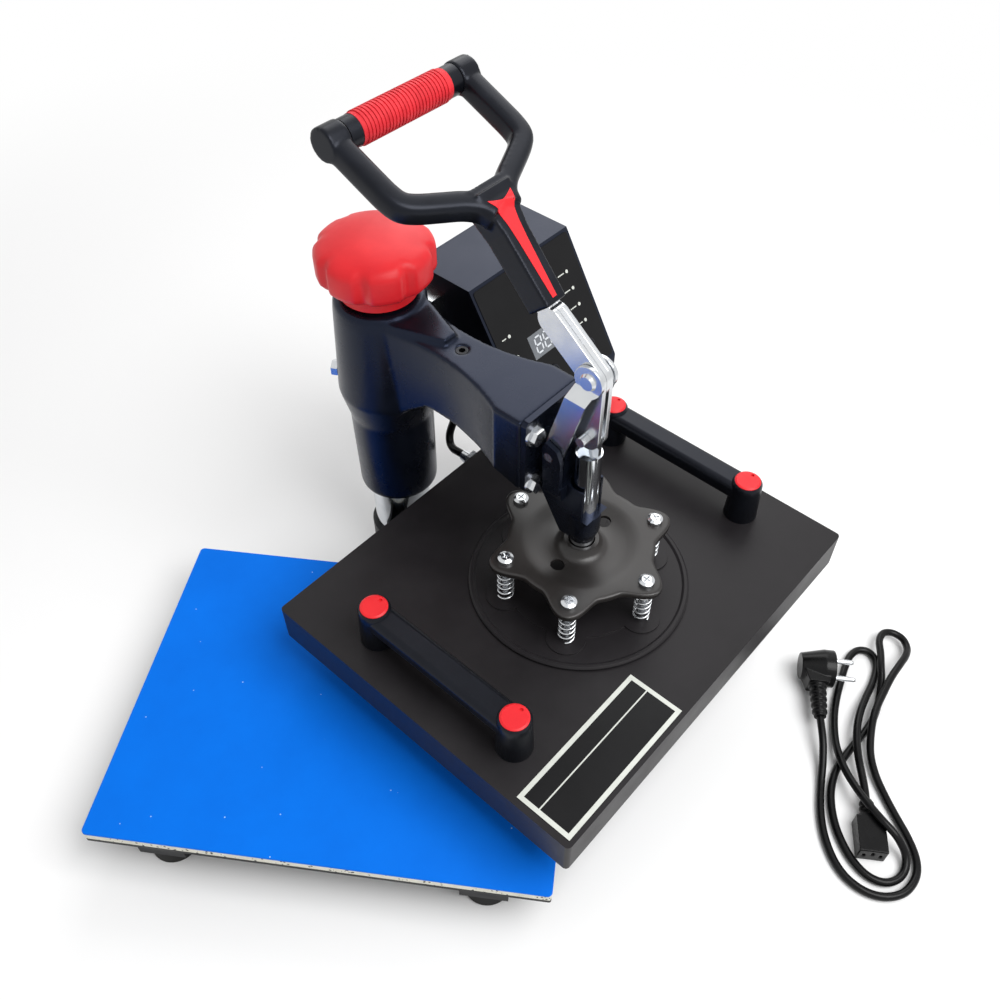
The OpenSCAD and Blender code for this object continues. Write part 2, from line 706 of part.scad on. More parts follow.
blanket_z = hot_plate_bottom + hot_plate_t;
hot_plate_w = cover_w - 2 * cover_wall - 4;
hot_plate_d = cover_d - 2 * cover_back - 2 * cover_wall - 2.6;

module platen_cover() color(BLACK) swung() difference() {
  translate([0, 0, cover_bottom]) linear_extrude(cover_h) cover_plan(cover_w, cover_d, 4);
  translate([0, 0, cover_bottom - 1]) linear_extrude(cover_h - cover_wall + 1)
    cover_plan(cover_w - 2 * cover_wall, cover_d - 2 * cover_wall, 3);
  arms6() translate([spring_ring, 0, cover_top - 5]) cylinder(d = spring_screw_d + 2 * run_gap, h = 10);
  lift_posts() translate([0, 0, cover_top - 5]) cylinder(d = lift_stud_d + 2 * run_gap, h = 10);
  translate([gland_x, cover_back + cover_d / 2, gland_z]) rotate([90, 0, 0])
    cylinder(d = gland_d + 2 * run_gap, h = 12, center = true);
}

module insulation_blanket() color([0.85, 0.8, 0.65]) swung() difference() {
  translate([0, 0, blanket_z]) linear_extrude(cover_top - cover_wall - seat_gap - blanket_z)
    round_rect(hot_plate_w - 6, hot_plate_d + 2, 6);
  arms6() translate([spring_ring, 0, cover_top - 12]) cylinder(d = spring_screw_d + 2, h = 14);
  lift_posts() translate([0, 0, cover_top - 12]) cylinder(d = lift_stud_d + 8, h = 14);
}

module heating_plate() color(STEEL) swung() translate([0, 0, hot_plate_bottom])
  linear_extrude(hot_plate_t) round_rect(hot_plate_w, hot_plate_d, 5);

spring_screw_d = 6;
spring_head_d = 13;
spring_head_h = 4.5;
gland_x = 50;
gland_z = cover_bottom + 26;
gland_d = 12;
lift_stud_d = 6;

module disc_raised() {
  circle(spring_ring - 2, $fn = 96);
  arms6() translate([spring_ring, 0]) circle(spider_lobe + 3);
}

module spring_disc() color(BLACK) swung() difference() {
  union() {
    translate([0, 0, cover_top]) rotate_extrude($fn = 96) polygon([
      [0, 0], [disc_d / 2 - 1.5, 0], [disc_d / 2, 1.5], [disc_d / 2, 2.5], [disc_d / 2 - 1.5, disc_t],
      [disc_d / 2 - 4, disc_t], [disc_d / 2 - 6, disc_t - 1.5], [0, disc_t - 1.5]]);
    translate([0, 0, cover_top + 0.5]) linear_extrude(disc_t - 0.5) disc_raised();
  }
  arms6() translate([spring_ring, 0, cover_top - 1])
    cylinder(d = spring_screw_d + 2 * run_gap, h = disc_t + 2);
}

module spring_screws() color(STEEL) swung() arms6() translate([spring_ring, 0, 0]) {
  translate([0, 0, cover_top - cover_wall - 5])
    cylinder(d = spring_screw_d, h = spider_top + seat_gap - cover_top + cover_wall + 5);
  translate([0, 0, spider_top + seat_gap]) difference() {
    union() {
      cylinder(d = spring_head_d, h = spring_head_h - 1.5);
      translate([0, 0, spring_head_h - 1.5]) cylinder(d1 = spring_head_d, d2 = spring_head_d - 5, h = 1.5);
    }
    for (a = [0, 90]) rotate(a) translate([-3.5, -0.7, spring_head_h - 2]) cube([7, 1.4, 3]);
  }
}

// Springs: one tube each, wound as a plain helix between the disc and the six-armed plate

spring_wire_d = 1.8;
spring_mid_r = 6.4;
spring_curls = 6;
spring_rise = spring_h - spring_wire_d - 0.2;
rings_per_curl = 8;
wire_sides = 6;

function curl_point(t) = [spring_mid_r * cos(360 * t), spring_mid_r * sin(360 * t),
  disc_top + 0.1 + spring_wire_d / 2 + spring_rise * t / spring_curls];

function wire_ring(t) = [for (k = [0:wire_sides - 1])
  let (b = 360 * k / wire_sides, out = spring_wire_d / 2 * cos(b), p = curl_point(t))
  [p[0] + out * cos(360 * t), p[1] + out * sin(360 * t), p[2] + spring_wire_d / 2 * sin(b)]];

function tube_faces(rings, sides) = concat(
  [[for (k = [0:sides - 1]) sides - 1 - k]],
  [for (i = [0:rings - 2], k = [0:sides - 1]) each [
    [i * sides + k, i * sides + (k + 1) % sides, (i + 1) * sides + (k + 1) % sides],
    [i * sides + k, (i + 1) * sides + (k + 1) % sides, (i + 1) * sides + k]]],
  [[for (k = [0:sides - 1]) (rings - 1) * sides + k]]);

spring_rings = spring_curls * rings_per_curl + 1;
spring_points = [for (i = [0:spring_rings - 1]) each wire_ring(i / rings_per_curl)];
spring_self_gap = min([for (i = [0:spring_rings - 1], j = [0:spring_rings - 1])
  if (j - i > rings_per_curl / 2)
  norm(curl_point(i / rings_per_curl) - curl_point(j / rings_per_curl))]) - spring_wire_d;
echo(spring_self_gap = spring_self_gap);

module coil_springs() color(STEEL) swung() arms6() translate([spring_ring, 0, 0])
  polyhedron(spring_points, tube_faces(spring_rings, wire_sides));

// Lifting handles on the platen

module lift_posts() for (s = [-1, 1], t = [-1, 1])
  translate([s * lift_x, cover_back + t * lift_span / 2, 0]) children();

lift_post_d = 30;
lift_bar_w = 24;
lift_bar_h = 17.5;
lift_bar_drop = 3.5;
cap_d = 23;
cap_t = 2.5;
lift_top = cover_top + lift_h;

module lifting_handles() color(BLACK) swung() difference() {
  for (s = [-1, 1]) union() {
    for (t = [-1, 1]) translate([s * lift_x, cover_back + t * lift_span / 2, cover_top]) {
      cylinder(d1 = lift_post_d, d2 = lift_post_d - 3, h = lift_h - 3);
      translate([0, 0, lift_h - 3]) cylinder(d1 = lift_post_d - 3, d2 = lift_post_d - 6, h = 2.5);
    }
    translate([s * lift_x, cover_back - lift_span / 2, lift_top - lift_bar_drop]) rotate([-90, 0, 0])
      linear_extrude(lift_span)
      round_rect_low(lift_bar_w, lift_bar_h, 6);
  }
  lift_posts() translate([0, 0, cover_top - 1]) cylinder(d = lift_stud_d + 2 * run_gap, h = lift_h - 8);
  lift_posts() translate([0, 0, lift_top - cap_t]) cylinder(d = cap_d + 2 * run_gap, h = cap_t + 1);
}

// Bar section with its top at 0 and its rounded foot below
module round_rect_low(w, h, r) translate([0, h / 2]) round_rect(w, h, r);

module handle_caps() color(RED) swung() lift_posts() translate([0, 0, lift_top - cap_t]) difference() {
  union() {
    cylinder(d = cap_d, h = cap_t);
    translate([0, 0, cap_t]) cylinder(d1 = cap_d, d2 = cap_d - 3, h = 0.8);
  }
  translate([cap_d / 2 - 4, 0, cap_t - 1]) cylinder(d = 3, h = 4);
}

module platen_gland() color(STEEL) swung() translate([gland_x, cover_back + cover_d / 2, gland_z])
  rotate([-90, 0, 0])
  difference() {
    union() {
      translate([0, 0, -cover_wall - 3]) cylinder(d = gland_d, h = cover_wall + 3);
      hex_head(17, 6);
      translate([0, 0, 6]) cylinder(d1 = 14, d2 = 11, h = 9);
    }
    translate([0, 0, -20]) cylinder(d = cable_d + 0.4, h = 60);
  }

cable_d = 8;

// Control box on the arm

module box_profile() polygon([
  [box_back_y, box_bottom], [box_back_y, box_top], [box_front_top, box_top],
  [box_front, box_bottom + box_lip], [box_front, box_bottom]]);

// Inside of the box, one wall in from the outline and open at the back
module box_hollow() polygon([
  [box_back_y + 1, box_bottom + box_wall], [box_back_y + 1, box_top - box_wall],
  [box_front_top + box_wall * (1 - cos(panel_tilt)) / sin(panel_tilt), box_top - box_wall],
  [box_front + box_wall, box_bottom + box_lip - box_wall * (1 - sin(panel_tilt)) / cos(panel_tilt)],
  [box_front + box_wall, box_bottom + box_wall]]);

// Places a shape on the sloping panel: X across, Y up the slope, Z out of the panel, from the panel's middle
module on_panel() translate([box_mid, (box_front + box_front_top) / 2, box_top - panel_drop / 2])
  rotate([panel_tilt, 0, 0]) children();

window_w = 54;
window_d = 22;
window_y = -10;
key_row = -40;
key_step = 25;
overlay_t = 0.6;

module key_spots() for (i = [-1.5:1.5]) translate([i * key_step, key_row, 0]) children();

module control_box() color(BLACK) swung() difference() {
  translate([box_mid, 0, 0]) slab_x(box_w) box_profile();
  translate([box_mid, 0, 0]) slab_x(box_w - 2 * box_wall) box_hollow();
  on_panel() {
    translate([-window_w / 2, window_y - window_d / 2, -5]) cube([window_w, window_d, 10]);
    key_spots() translate([0, 0, -5]) cylinder(d = key_d + 2 * seat_gap, h = 10);
  }
  translate([gland_out_x, gland_out_y, box_bottom - 5]) cylinder(d = cable_d + 0.6, h = 12);
  box_side_holes();
}

module box_side_holes() for (z = bracket_hole_z) translate([box_x - 3, bracket_hole_y, z]) rotate([0, 90, 0])
  cylinder(d = bracket_screw_d + 2 * run_gap, h = 10);

gland_out_x = box_x + 16;
gland_out_y = box_back_y - 34;
back_t = 1.5;

inlet_x = box_x + 36;
switch_x = box_x + 92;
rear_z = box_bottom + 45;
inlet_w = 27;
inlet_h = 20;
bezel_w = 22;
bezel_h = 30;
back_screw_d = 3;

module back_screw_spots() for (x = [box_x + 8, box_x + box_w - 8], z = [box_bottom + 8, box_top - 8])
  translate([x, box_back_y, z]) children();

module box_back() color(BLACK) swung() difference() {
  translate([box_x, box_back_y, box_bottom]) cube([box_w, back_t, box_h]);
  translate([inlet_x - inlet_w / 2 - run_gap, box_back_y - 1, rear_z - inlet_h / 2 - run_gap])
    cube([inlet_w + 2 * run_gap, 5, inlet_h + 2 * run_gap]);
  translate([switch_x - bezel_w / 2 + 1.5, box_back_y - 1, rear_z - bezel_h / 2 + 1.5])
    cube([bezel_w - 3, 5, bezel_h - 3]);
  back_screw_spots() rotate([-90, 0, 0]) translate([0, 0, -1])
    cylinder(d = back_screw_d + 2 * run_gap, h = 5);
}

module panel_overlay() color([0.05, 0.05, 0.06]) swung() on_panel() difference() {
  linear_extrude(overlay_t) round_rect(box_w - 6, panel_len - 6, 3);
  translate([-window_w / 2, window_y - window_d / 2, -1]) cube([window_w, window_d, 3]);
  key_spots() translate([0, 0, -1]) cylinder(d = key_d + 2 * seat_gap, h = 3);
}

module display_window() color([0.45, 0.46, 0.48]) swung() on_panel()
  translate([-window_w / 2 + run_gap, window_y - window_d / 2 + run_gap, -4])
  cube([window_w - 2 * run_gap, window_d - 2 * run_gap, 4 + overlay_t + 0.2]);

key_out = overlay_t + key_travel + 0.4;

module key(i) color([0.16, 0.16, 0.17]) swung() on_panel() translate([(i - 1.5) * key_step, key_row, 0]) {
  translate([0, 0, -3]) cylinder(d = key_d, h = 3 + key_out - 0.5);
  translate([0, 0, key_out - 0.5]) cylinder(d1 = key_d, d2 = key_d - 2, h = 0.5);
  translate([0, 0, -key_back]) cylinder(d = 5, h = key_back - 2);
}

key_back = 9;
board_t = 1.6;
board_gap = 0.3;

module key_mode() key(0);
module key_down() key(1);
module key_up() key(2);
module key_set() key(3);

board_w = box_w - 28;
board_low = key_row - 15;
board_d = 80;
board_z = -key_back - key_travel - board_gap;

module circuit_board() color([0.1, 0.35, 0.2]) swung() on_panel() {
  translate([-board_w / 2, board_low, board_z - board_t]) cube([board_w, board_d, board_t]);
  for (x = [6 - board_w / 2, board_w / 2 - 6], y = [board_low + 5, board_low + board_d - 5])
    translate([x, y, board_z]) cylinder(d = 6, h = -board_z - box_wall - run_gap);
  translate([-window_w / 2 + 2, window_y - 8, board_z]) cube([window_w - 4, 16, -board_z - 4]);
}

module power_inlet() color([0.07, 0.07, 0.08]) swung()
  translate([inlet_x, box_back_y + back_t, rear_z]) difference() {
  union() {
    translate([-inlet_w / 2, -18, -inlet_h / 2]) cube([inlet_w, 18, inlet_h]);
    rotate([90, 0, 0]) mirror([0, 0, 1]) linear_extrude(2) round_rect(inlet_w + 20, inlet_h + 5, 4);
  }
  translate([-inlet_w / 2 + 1.5, -14, -inlet_h / 2 + 1.5]) cube([inlet_w - 3, 20, inlet_h - 3]);
}

module switch_bezel() color([0.07, 0.07, 0.08]) swung()
  translate([switch_x, box_back_y + back_t, rear_z]) difference() {
  union() {
    translate([-bezel_w / 2 + 1.6, -16, -bezel_h / 2 + 1.6]) cube([bezel_w - 3.2, 16, bezel_h - 3.2]);
    translate([-bezel_w / 2, 0, -bezel_h / 2]) cube([bezel_w, 2, bezel_h]);
  }
  translate([-rocker_w / 2 - seat_gap, -13, -rocker_h / 2 - 2])
    cube([rocker_w + 2 * seat_gap, 20, rocker_h + 4]);
  translate([0, -rocker_in, 0]) rotate([0, 90, 0])
    cylinder(d = rocker_pin_d + 2 * run_gap, h = rocker_w + 2.8, center = true);
}

rocker_w = 14;
rocker_h = 20;
rocker_tilt = 12;
rocker_in = 2.2;
rocker_pin_d = 4;

module power_rocker() color([0.75, 0.1, 0.1]) swung()
  translate([switch_x, box_back_y + back_t - rocker_in, rear_z]) rotate([-rocker_tilt, 0, 0]) {
    slab_x(rocker_w) polygon([[-9, -5], [-9, 5], [4.5, rocker_h / 2], [3, 0], [4.5, -rocker_h / 2]]);
    rotate([0, 90, 0]) cylinder(d = rocker_pin_d, h = rocker_w + 2.4, center = true);
  }

bracket_screw_d = 5;
bracket_hole_y = arm_reach - 8;
bracket_hole_z = [205, 245];
bracket_y0 = arm_reach - 24;
bracket_d = 32;

module box_bracket_holes() for (z = bracket_hole_z) translate([0, bracket_hole_y, z]) rotate([0, 90, 0])
  translate([0, 0, hub_pad_x - 9]) cylinder(d = bracket_screw_d + 2 * run_gap, h = 30);

hub_pad_x = 36;

module box_bracket() color(STEEL) swung() difference() {
  translate([hub_pad_x, bracket_y0, bracket_hole_z[0] - 10])
    cube([box_x - hub_pad_x, bracket_d, bracket_hole_z[1] - bracket_hole_z[0] + 20]);
  translate([0, arm_reach, sleeve_bottom]) rotate_extrude($fn = 96) polygon([
    [0, 0], [sleeve_d / 2 + 1 + run_gap, 0], [sleeve_d / 2 + 1 + run_gap, hub_step - sleeve_bottom],
    [hub_d / 2 + run_gap, hub_shoulder - sleeve_bottom],
    [hub_top_d / 2 + 1 + run_gap, hub_top - 12 - sleeve_bottom],
    [hub_top_d / 2 + run_gap, hub_top - sleeve_bottom], [0, hub_top - sleeve_bottom]]);
  for (z = bracket_hole_z) translate([0, bracket_hole_y, z]) rotate([0, 90, 0])
    cylinder(d = bracket_screw_d + 2 * run_gap, h = 80);
}

module box_screws() color(STEEL) swung() {
  back_screw_spots() rotate([-90, 0, 0]) {
    translate([0, 0, -6]) cylinder(d = back_screw_d, h = 6 + back_t);
    translate([0, 0, back_t]) cylinder(d1 = 2 * back_screw_d, d2 = 1.4 * back_screw_d, h = 1.8);
  }
  for (z = bracket_hole_z) translate([box_x + box_wall, bracket_hole_y, z]) rotate([0, 90, 0]) {
    translate([0, 0, -bracket_grip]) cylinder(d = bracket_screw_d, h = bracket_grip);
    cylinder(d1 = 2 * bracket_screw_d, d2 = 1.5 * bracket_screw_d, h = 3);
  }
}

bracket_grip = box_wall + box_x - hub_pad_x + 6;

// Cables: tubes swept along points chosen by hand

function unit(v) = v / norm(v);
function along(p, i) = unit(p[min(i + 1, len(p) - 1)] - p[max(i - 1, 0)]);
function side_of(d) = unit(cross(d, abs(d[2]) > 0.9 ? [1, 0, 0] : [0, 0, 1]));
function cord_ring(p, i, r, sides) = let (d = along(p, i), u = side_of(d), v = cross(d, u))
  [for (k = [0:sides - 1]) p[i] + r * (cos(360 * k / sides) * u + sin(360 * k / sides) * v)];

module tube_along(p, d, sides) polyhedron([for (i = [0:len(p) - 1]) each cord_ring(p, i, d / 2, sides)],
  [for (f = tube_faces(len(p), sides)) [for (k = [len(f) - 1:-1:0]) f[k]]]);

// Route of the heater's cable from the box's floor to the gland at the platen's rear, arm closed
cable_route = [
  [gland_out_x, gland_out_y, box_bottom + 4], [gland_out_x, gland_out_y, box_bottom - 10], [67, 200, 122],
  [65, 204, 105], [62, 208, 88], [58, 209, 76], [54, 205, 69], [51, 198, 68], [gland_x, 190, gland_z - 0.5],
  [gland_x, cover_back + cover_d / 2 + 14, gland_z], [gland_x, cover_back + cover_d / 2 + 2, gland_z]];

module heater_cable() color(BLACK) swung() tube_along(cable_route, cable_d, 10);

// Mains lead, lying apart on the table at the right, from the plug to the connector
cord_d = 7;
plug_end = [417.5, 64, 18];
connector_end = [453.5, -8, 9];

// Points of the lead, with their heights above the table
cord_route = [
  [417.5, 64, 18], [418, 54, 18], [419, 40, 15], [419, 24, 9], [417, 5, 4.5], [415, -14.5, 4],
  [415, -32.5, 4],
  [417.5, -49, 4], [423, -65, 4], [431, -77, 4], [442, -85.5, 4], [454, -89.5, 4], [466.5, -89, 4],
  [478, -84, 4], [486.5, -74.5, 4], [491, -63.5, 4], [491, -50.5, 4], [486.5, -34.5, 4], [479, -17, 4],
  [472, 0, 4.5], [466, 17.5, 5.5], [463, 34.5, 7], [463.5, 50, 9], [466.5, 68, 11.5], [472, 84.5, 12.5],
  [480, 101.5, 14], [488.5, 118, 16], [498, 133, 16], [506, 146, 13], [510, 158, 9], [507, 168.5, 9],
  [498, 174, 9.5], [488.5, 171.5, 11], [483, 161, 12], [482.5, 147, 12.5], [481.5, 132, 12],
  [481, 116, 8], [477.5, 98, 4.5], [471.5, 80, 4], [461.5, 63, 4], [450, 48, 4],
  [439, 32.5, 4], [431, 18.5, 4], [426, 2.5, 4], [424.5, -13, 4], [426, -30.5, 4], [430.5, -46.5, 4],
  [437.5, -61, 4], [447, -72, 4], [457, -77, 4], [466.5, -77, 4], [475.5, -72, 4], [481, -63.5, 5],
  [481.5, -54, 9], [477, -47, 15], [470.5, -40.5, 20], [461.5, -31.5, 22], [453, -19.5, 21],
  [445, -4.5, 18], [438.5, 12, 14], [434, 28, 12], [432.5, 44.5, 8], [433, 61, 5.5], [435, 79.5, 4.5],
  [439, 97.5, 4], [444, 114.5, 4], [449, 130, 4], [455, 144, 4], [463.5, 152.5, 4], [473, 152.5, 4],
  [479, 145, 4], [479, 133, 4], [473.5, 116, 4.5], [464.5, 97, 7.5], [457, 79, 10], [452, 61, 12],
  [450, 44, 12.5], [450.5, 27, 12], [452.5, 12, 10], [453.5, 1, 9], [453.5, -8, 9]];

module cord_plug() color(BLACK) translate([plug_end[0], plug_end[1], table_z + plug_end[2]]) {
  translate([0, 0.1, 0]) rotate([-90, 0, 0]) cylinder(d1 = 11, d2 = 15, h = 42);
  translate([-15, 54, 0]) rotate([0, 90, 0]) cylinder(r = 17.8, h = 31);
  for (s = [-1, 1]) translate([15, 54 + s * 9.5, 0]) rotate([0, 90, 0]) cylinder(d = 4.8, h = 20);
}

module cord_connector() color(BLACK)
  translate([connector_end[0], connector_end[1] - 0.1, table_z + connector_end[2]]) difference() {
    union() {
      rotate([90, 0, 0]) cylinder(d1 = 10, d2 = 13, h = 19);
      translate([-12, -50, -8.8]) cube([24, 32, 17.6]);
    }
    for (x = [-7, 0, 7]) translate([x - 1.2, -51, x == 0 ? 0 : -3]) cube([2.4, 14, 5]);
  }

module mains_cord() color(BLACK) translate([0, 0, table_z]) tube_along(cord_route, cord_d, 8);

runners();
crossbars();
rear_plate();
column_socket();
column_tube();
column_nut();
rubber_feet();
foot_screws();
lower_plate();
foam_sheet();
silicone_pad();
plate_bolts();
thrust_washer();
pressure_knob();
pressure_screw();
cast_arm();
arm_set_screw();
hub_bolt();
toggle_bracket();
bracket_bolts();
link_pivot_pin();
toggle_links();
link_rivet();
lever_plates();
lever_core();
handle_frame();
handle_stripe();
grip_tube();
grip_sleeve();
plunger_rod();
plunger_pin();
spider_plate();
rod_nut();
platen_cover();
insulation_blanket();
heating_plate();
spring_disc();
spring_screws();
coil_springs();
lifting_handles();
handle_caps();
platen_gland();
box_bracket();
box_screws();
control_box();
box_back();
panel_overlay();
display_window();
key_up();
key_down();
key_set();
key_mode();
circuit_board();
power_inlet();
switch_bezel();
power_rocker();
heater_cable();
cord_plug();
cord_connector();
mains_cord();
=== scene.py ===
import json
import math
import bpy
from mathutils import Matrix, Vector


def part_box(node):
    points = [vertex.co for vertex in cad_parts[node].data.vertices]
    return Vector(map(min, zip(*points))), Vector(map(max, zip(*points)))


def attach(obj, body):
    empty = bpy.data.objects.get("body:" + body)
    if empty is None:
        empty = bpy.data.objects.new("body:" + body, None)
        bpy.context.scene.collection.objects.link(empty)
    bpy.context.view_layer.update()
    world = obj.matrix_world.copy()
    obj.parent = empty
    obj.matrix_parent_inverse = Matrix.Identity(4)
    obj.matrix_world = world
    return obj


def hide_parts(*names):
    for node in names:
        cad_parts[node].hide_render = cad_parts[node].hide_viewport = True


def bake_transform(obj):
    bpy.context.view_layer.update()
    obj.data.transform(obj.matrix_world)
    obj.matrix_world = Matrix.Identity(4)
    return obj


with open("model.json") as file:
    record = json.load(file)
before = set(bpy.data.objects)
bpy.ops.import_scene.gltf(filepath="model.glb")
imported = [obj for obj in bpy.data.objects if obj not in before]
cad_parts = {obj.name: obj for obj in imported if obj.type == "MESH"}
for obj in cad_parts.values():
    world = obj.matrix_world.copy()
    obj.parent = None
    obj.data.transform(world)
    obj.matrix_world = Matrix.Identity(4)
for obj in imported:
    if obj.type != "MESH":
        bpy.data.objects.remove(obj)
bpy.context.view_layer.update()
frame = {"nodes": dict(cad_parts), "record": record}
nodes = frame["nodes"]
bodyOf = {n: b for b, members in frame["record"]["behaviour"]["bodies"].items() for n in members}
scene = bpy.context.scene
scene.view_settings.view_transform = "Standard"
mm = 0.001
mergeGap = 0.004 * mm  # points of a CAD copy that are closer than this are one
roundSides = 48  # sides of a moulded round

# the arm is drawn closed and then swung out to its rest place
armPlace = {"column": (0, 223 * mm, 0), "swing": 56}
columnFoot = Matrix.Translation(Vector(armPlace["column"]))
armTurn = columnFoot @ Matrix.Rotation(math.radians(armPlace["swing"]), 4, "Z") @ columnFoot.inverted()
tableTop = -64 * mm


def linear(hexText):
    parts = [int(hexText[i:i + 2], 16) / 255 for i in (1, 3, 5)]
    return tuple(c / 12.92 if c <= 0.04045 else ((c + 0.055) / 1.055) ** 2.4 for c in parts) + (1.0,)


def addNode(tree, kind, settings=None, links=None):
    node = tree.nodes.new(kind)
    for name, value in (settings or {}).items():
        if isinstance(name, int) or name in node.inputs:
            node.inputs[name].default_value = value
        else:
            setattr(node, name, value)
    for name, source in (links or {}).items():
        tree.links.new(source, node.inputs[name])
    return node


def deselect():
    if bpy.context.mode != "OBJECT":
        bpy.ops.object.mode_set(mode="OBJECT")
    bpy.ops.object.select_all(action="DESELECT")


def pick(piece):
    deselect()
    piece.select_set(True)
    bpy.context.view_layer.objects.active = piece


def settle(piece):
    pick(piece)
    bpy.ops.object.transform_apply(location=True, rotation=True, scale=True)
    return piece


def editAll(piece):
    pick(piece)
    bpy.ops.object.mode_set(mode="EDIT")
    bpy.ops.mesh.select_all(action="SELECT")


# ends an edit with every face turned outward
def faceOutward():
    bpy.ops.mesh.select_all(action="SELECT")
    bpy.ops.mesh.normals_make_consistent(inside=False)
    bpy.ops.object.mode_set(mode="OBJECT")


def newPiece(name, points, faces):
    data = bpy.data.meshes.new(name)
    data.from_pydata(points, [], faces)
    piece = bpy.data.objects.new(name, data)
    scene.collection.objects.link(piece)
    return piece


# a CAD node's mesh is loose triangles, so a copy is merged, and its flats made whole, before it is shaped
def mergedCopy(name, node, flat=0):
    piece = bpy.data.objects.new(name, nodes[node].data.copy())
    scene.collection.objects.link(piece)
    editAll(piece)
    bpy.ops.mesh.remove_doubles(threshold=mergeGap)
    if flat:
        bpy.ops.mesh.dissolve_limited(angle_limit=math.radians(flat))
    bpy.ops.object.mode_set(mode="OBJECT")
    return piece


def joinParts(name, parts):
    pick(parts[0])
    for part in parts[1:]:
        part.select_set(True)
    bpy.ops.object.join()
    parts[0].name = name
    return parts[0]


def modify(piece, kind, **settings):
    pick(piece)
    step = piece.modifiers.new(kind.lower(), kind)
    for name, value in settings.items():
        setattr(step, name, value)
    bpy.ops.object.modifier_apply(modifier=step.name)


def smoothBy(piece, degrees):
    pick(piece)
    bpy.ops.object.shade_smooth_by_angle(angle=math.radians(degrees))


# faces between rows of points, each row the next one's neighbour
def bandFaces(rows, columns, closedRows=False, closedColumns=False):
    faces = []
    for k in range(rows if closedRows else rows - 1):
        here, there = k * columns, (k + 1) % rows * columns
        for j in range(columns if closedColumns else columns - 1):
            beside = (j + 1) % columns
            faces.append([here + j, here + beside, there + beside, there + j])
    return faces


def finishPiece(piece, material, body, replaced=()):
    piece.data.materials.clear()
    piece.data.materials.append(material)
    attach(piece, body)
    for node in replaced:
        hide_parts(node)
    return piece


# camera at the photograph's place
cameraLook = {
    "place": (190.6 * mm, -433.65 * mm, 776.8 * mm),
    "right": (0.99100, 0.13382, -0.00315),
    "down": (0.09800, -0.74133, -0.66395),
    "forward": (-0.09119, 0.65766, -0.74777),
    "lens": 36.126, "sensor": 36, "clip": 20,
}
bpy.ops.object.camera_add(location=(0, 0, 0))
camera = bpy.context.object
right, down, ahead = (Vector(cameraLook[k]).normalized() for k in ("right", "down", "forward"))
turn = Matrix((right, -down, -ahead)).transposed().to_4x4()
camera.matrix_world = Matrix.Translation(Vector(cameraLook["place"])) @ turn
camera.data.sensor_fit = "HORIZONTAL"
camera.data.sensor_width = cameraLook["sensor"]
camera.data.lens = cameraLook["lens"]
camera.data.clip_end = cameraLook["clip"]
scene.camera = camera
print("camera placed")

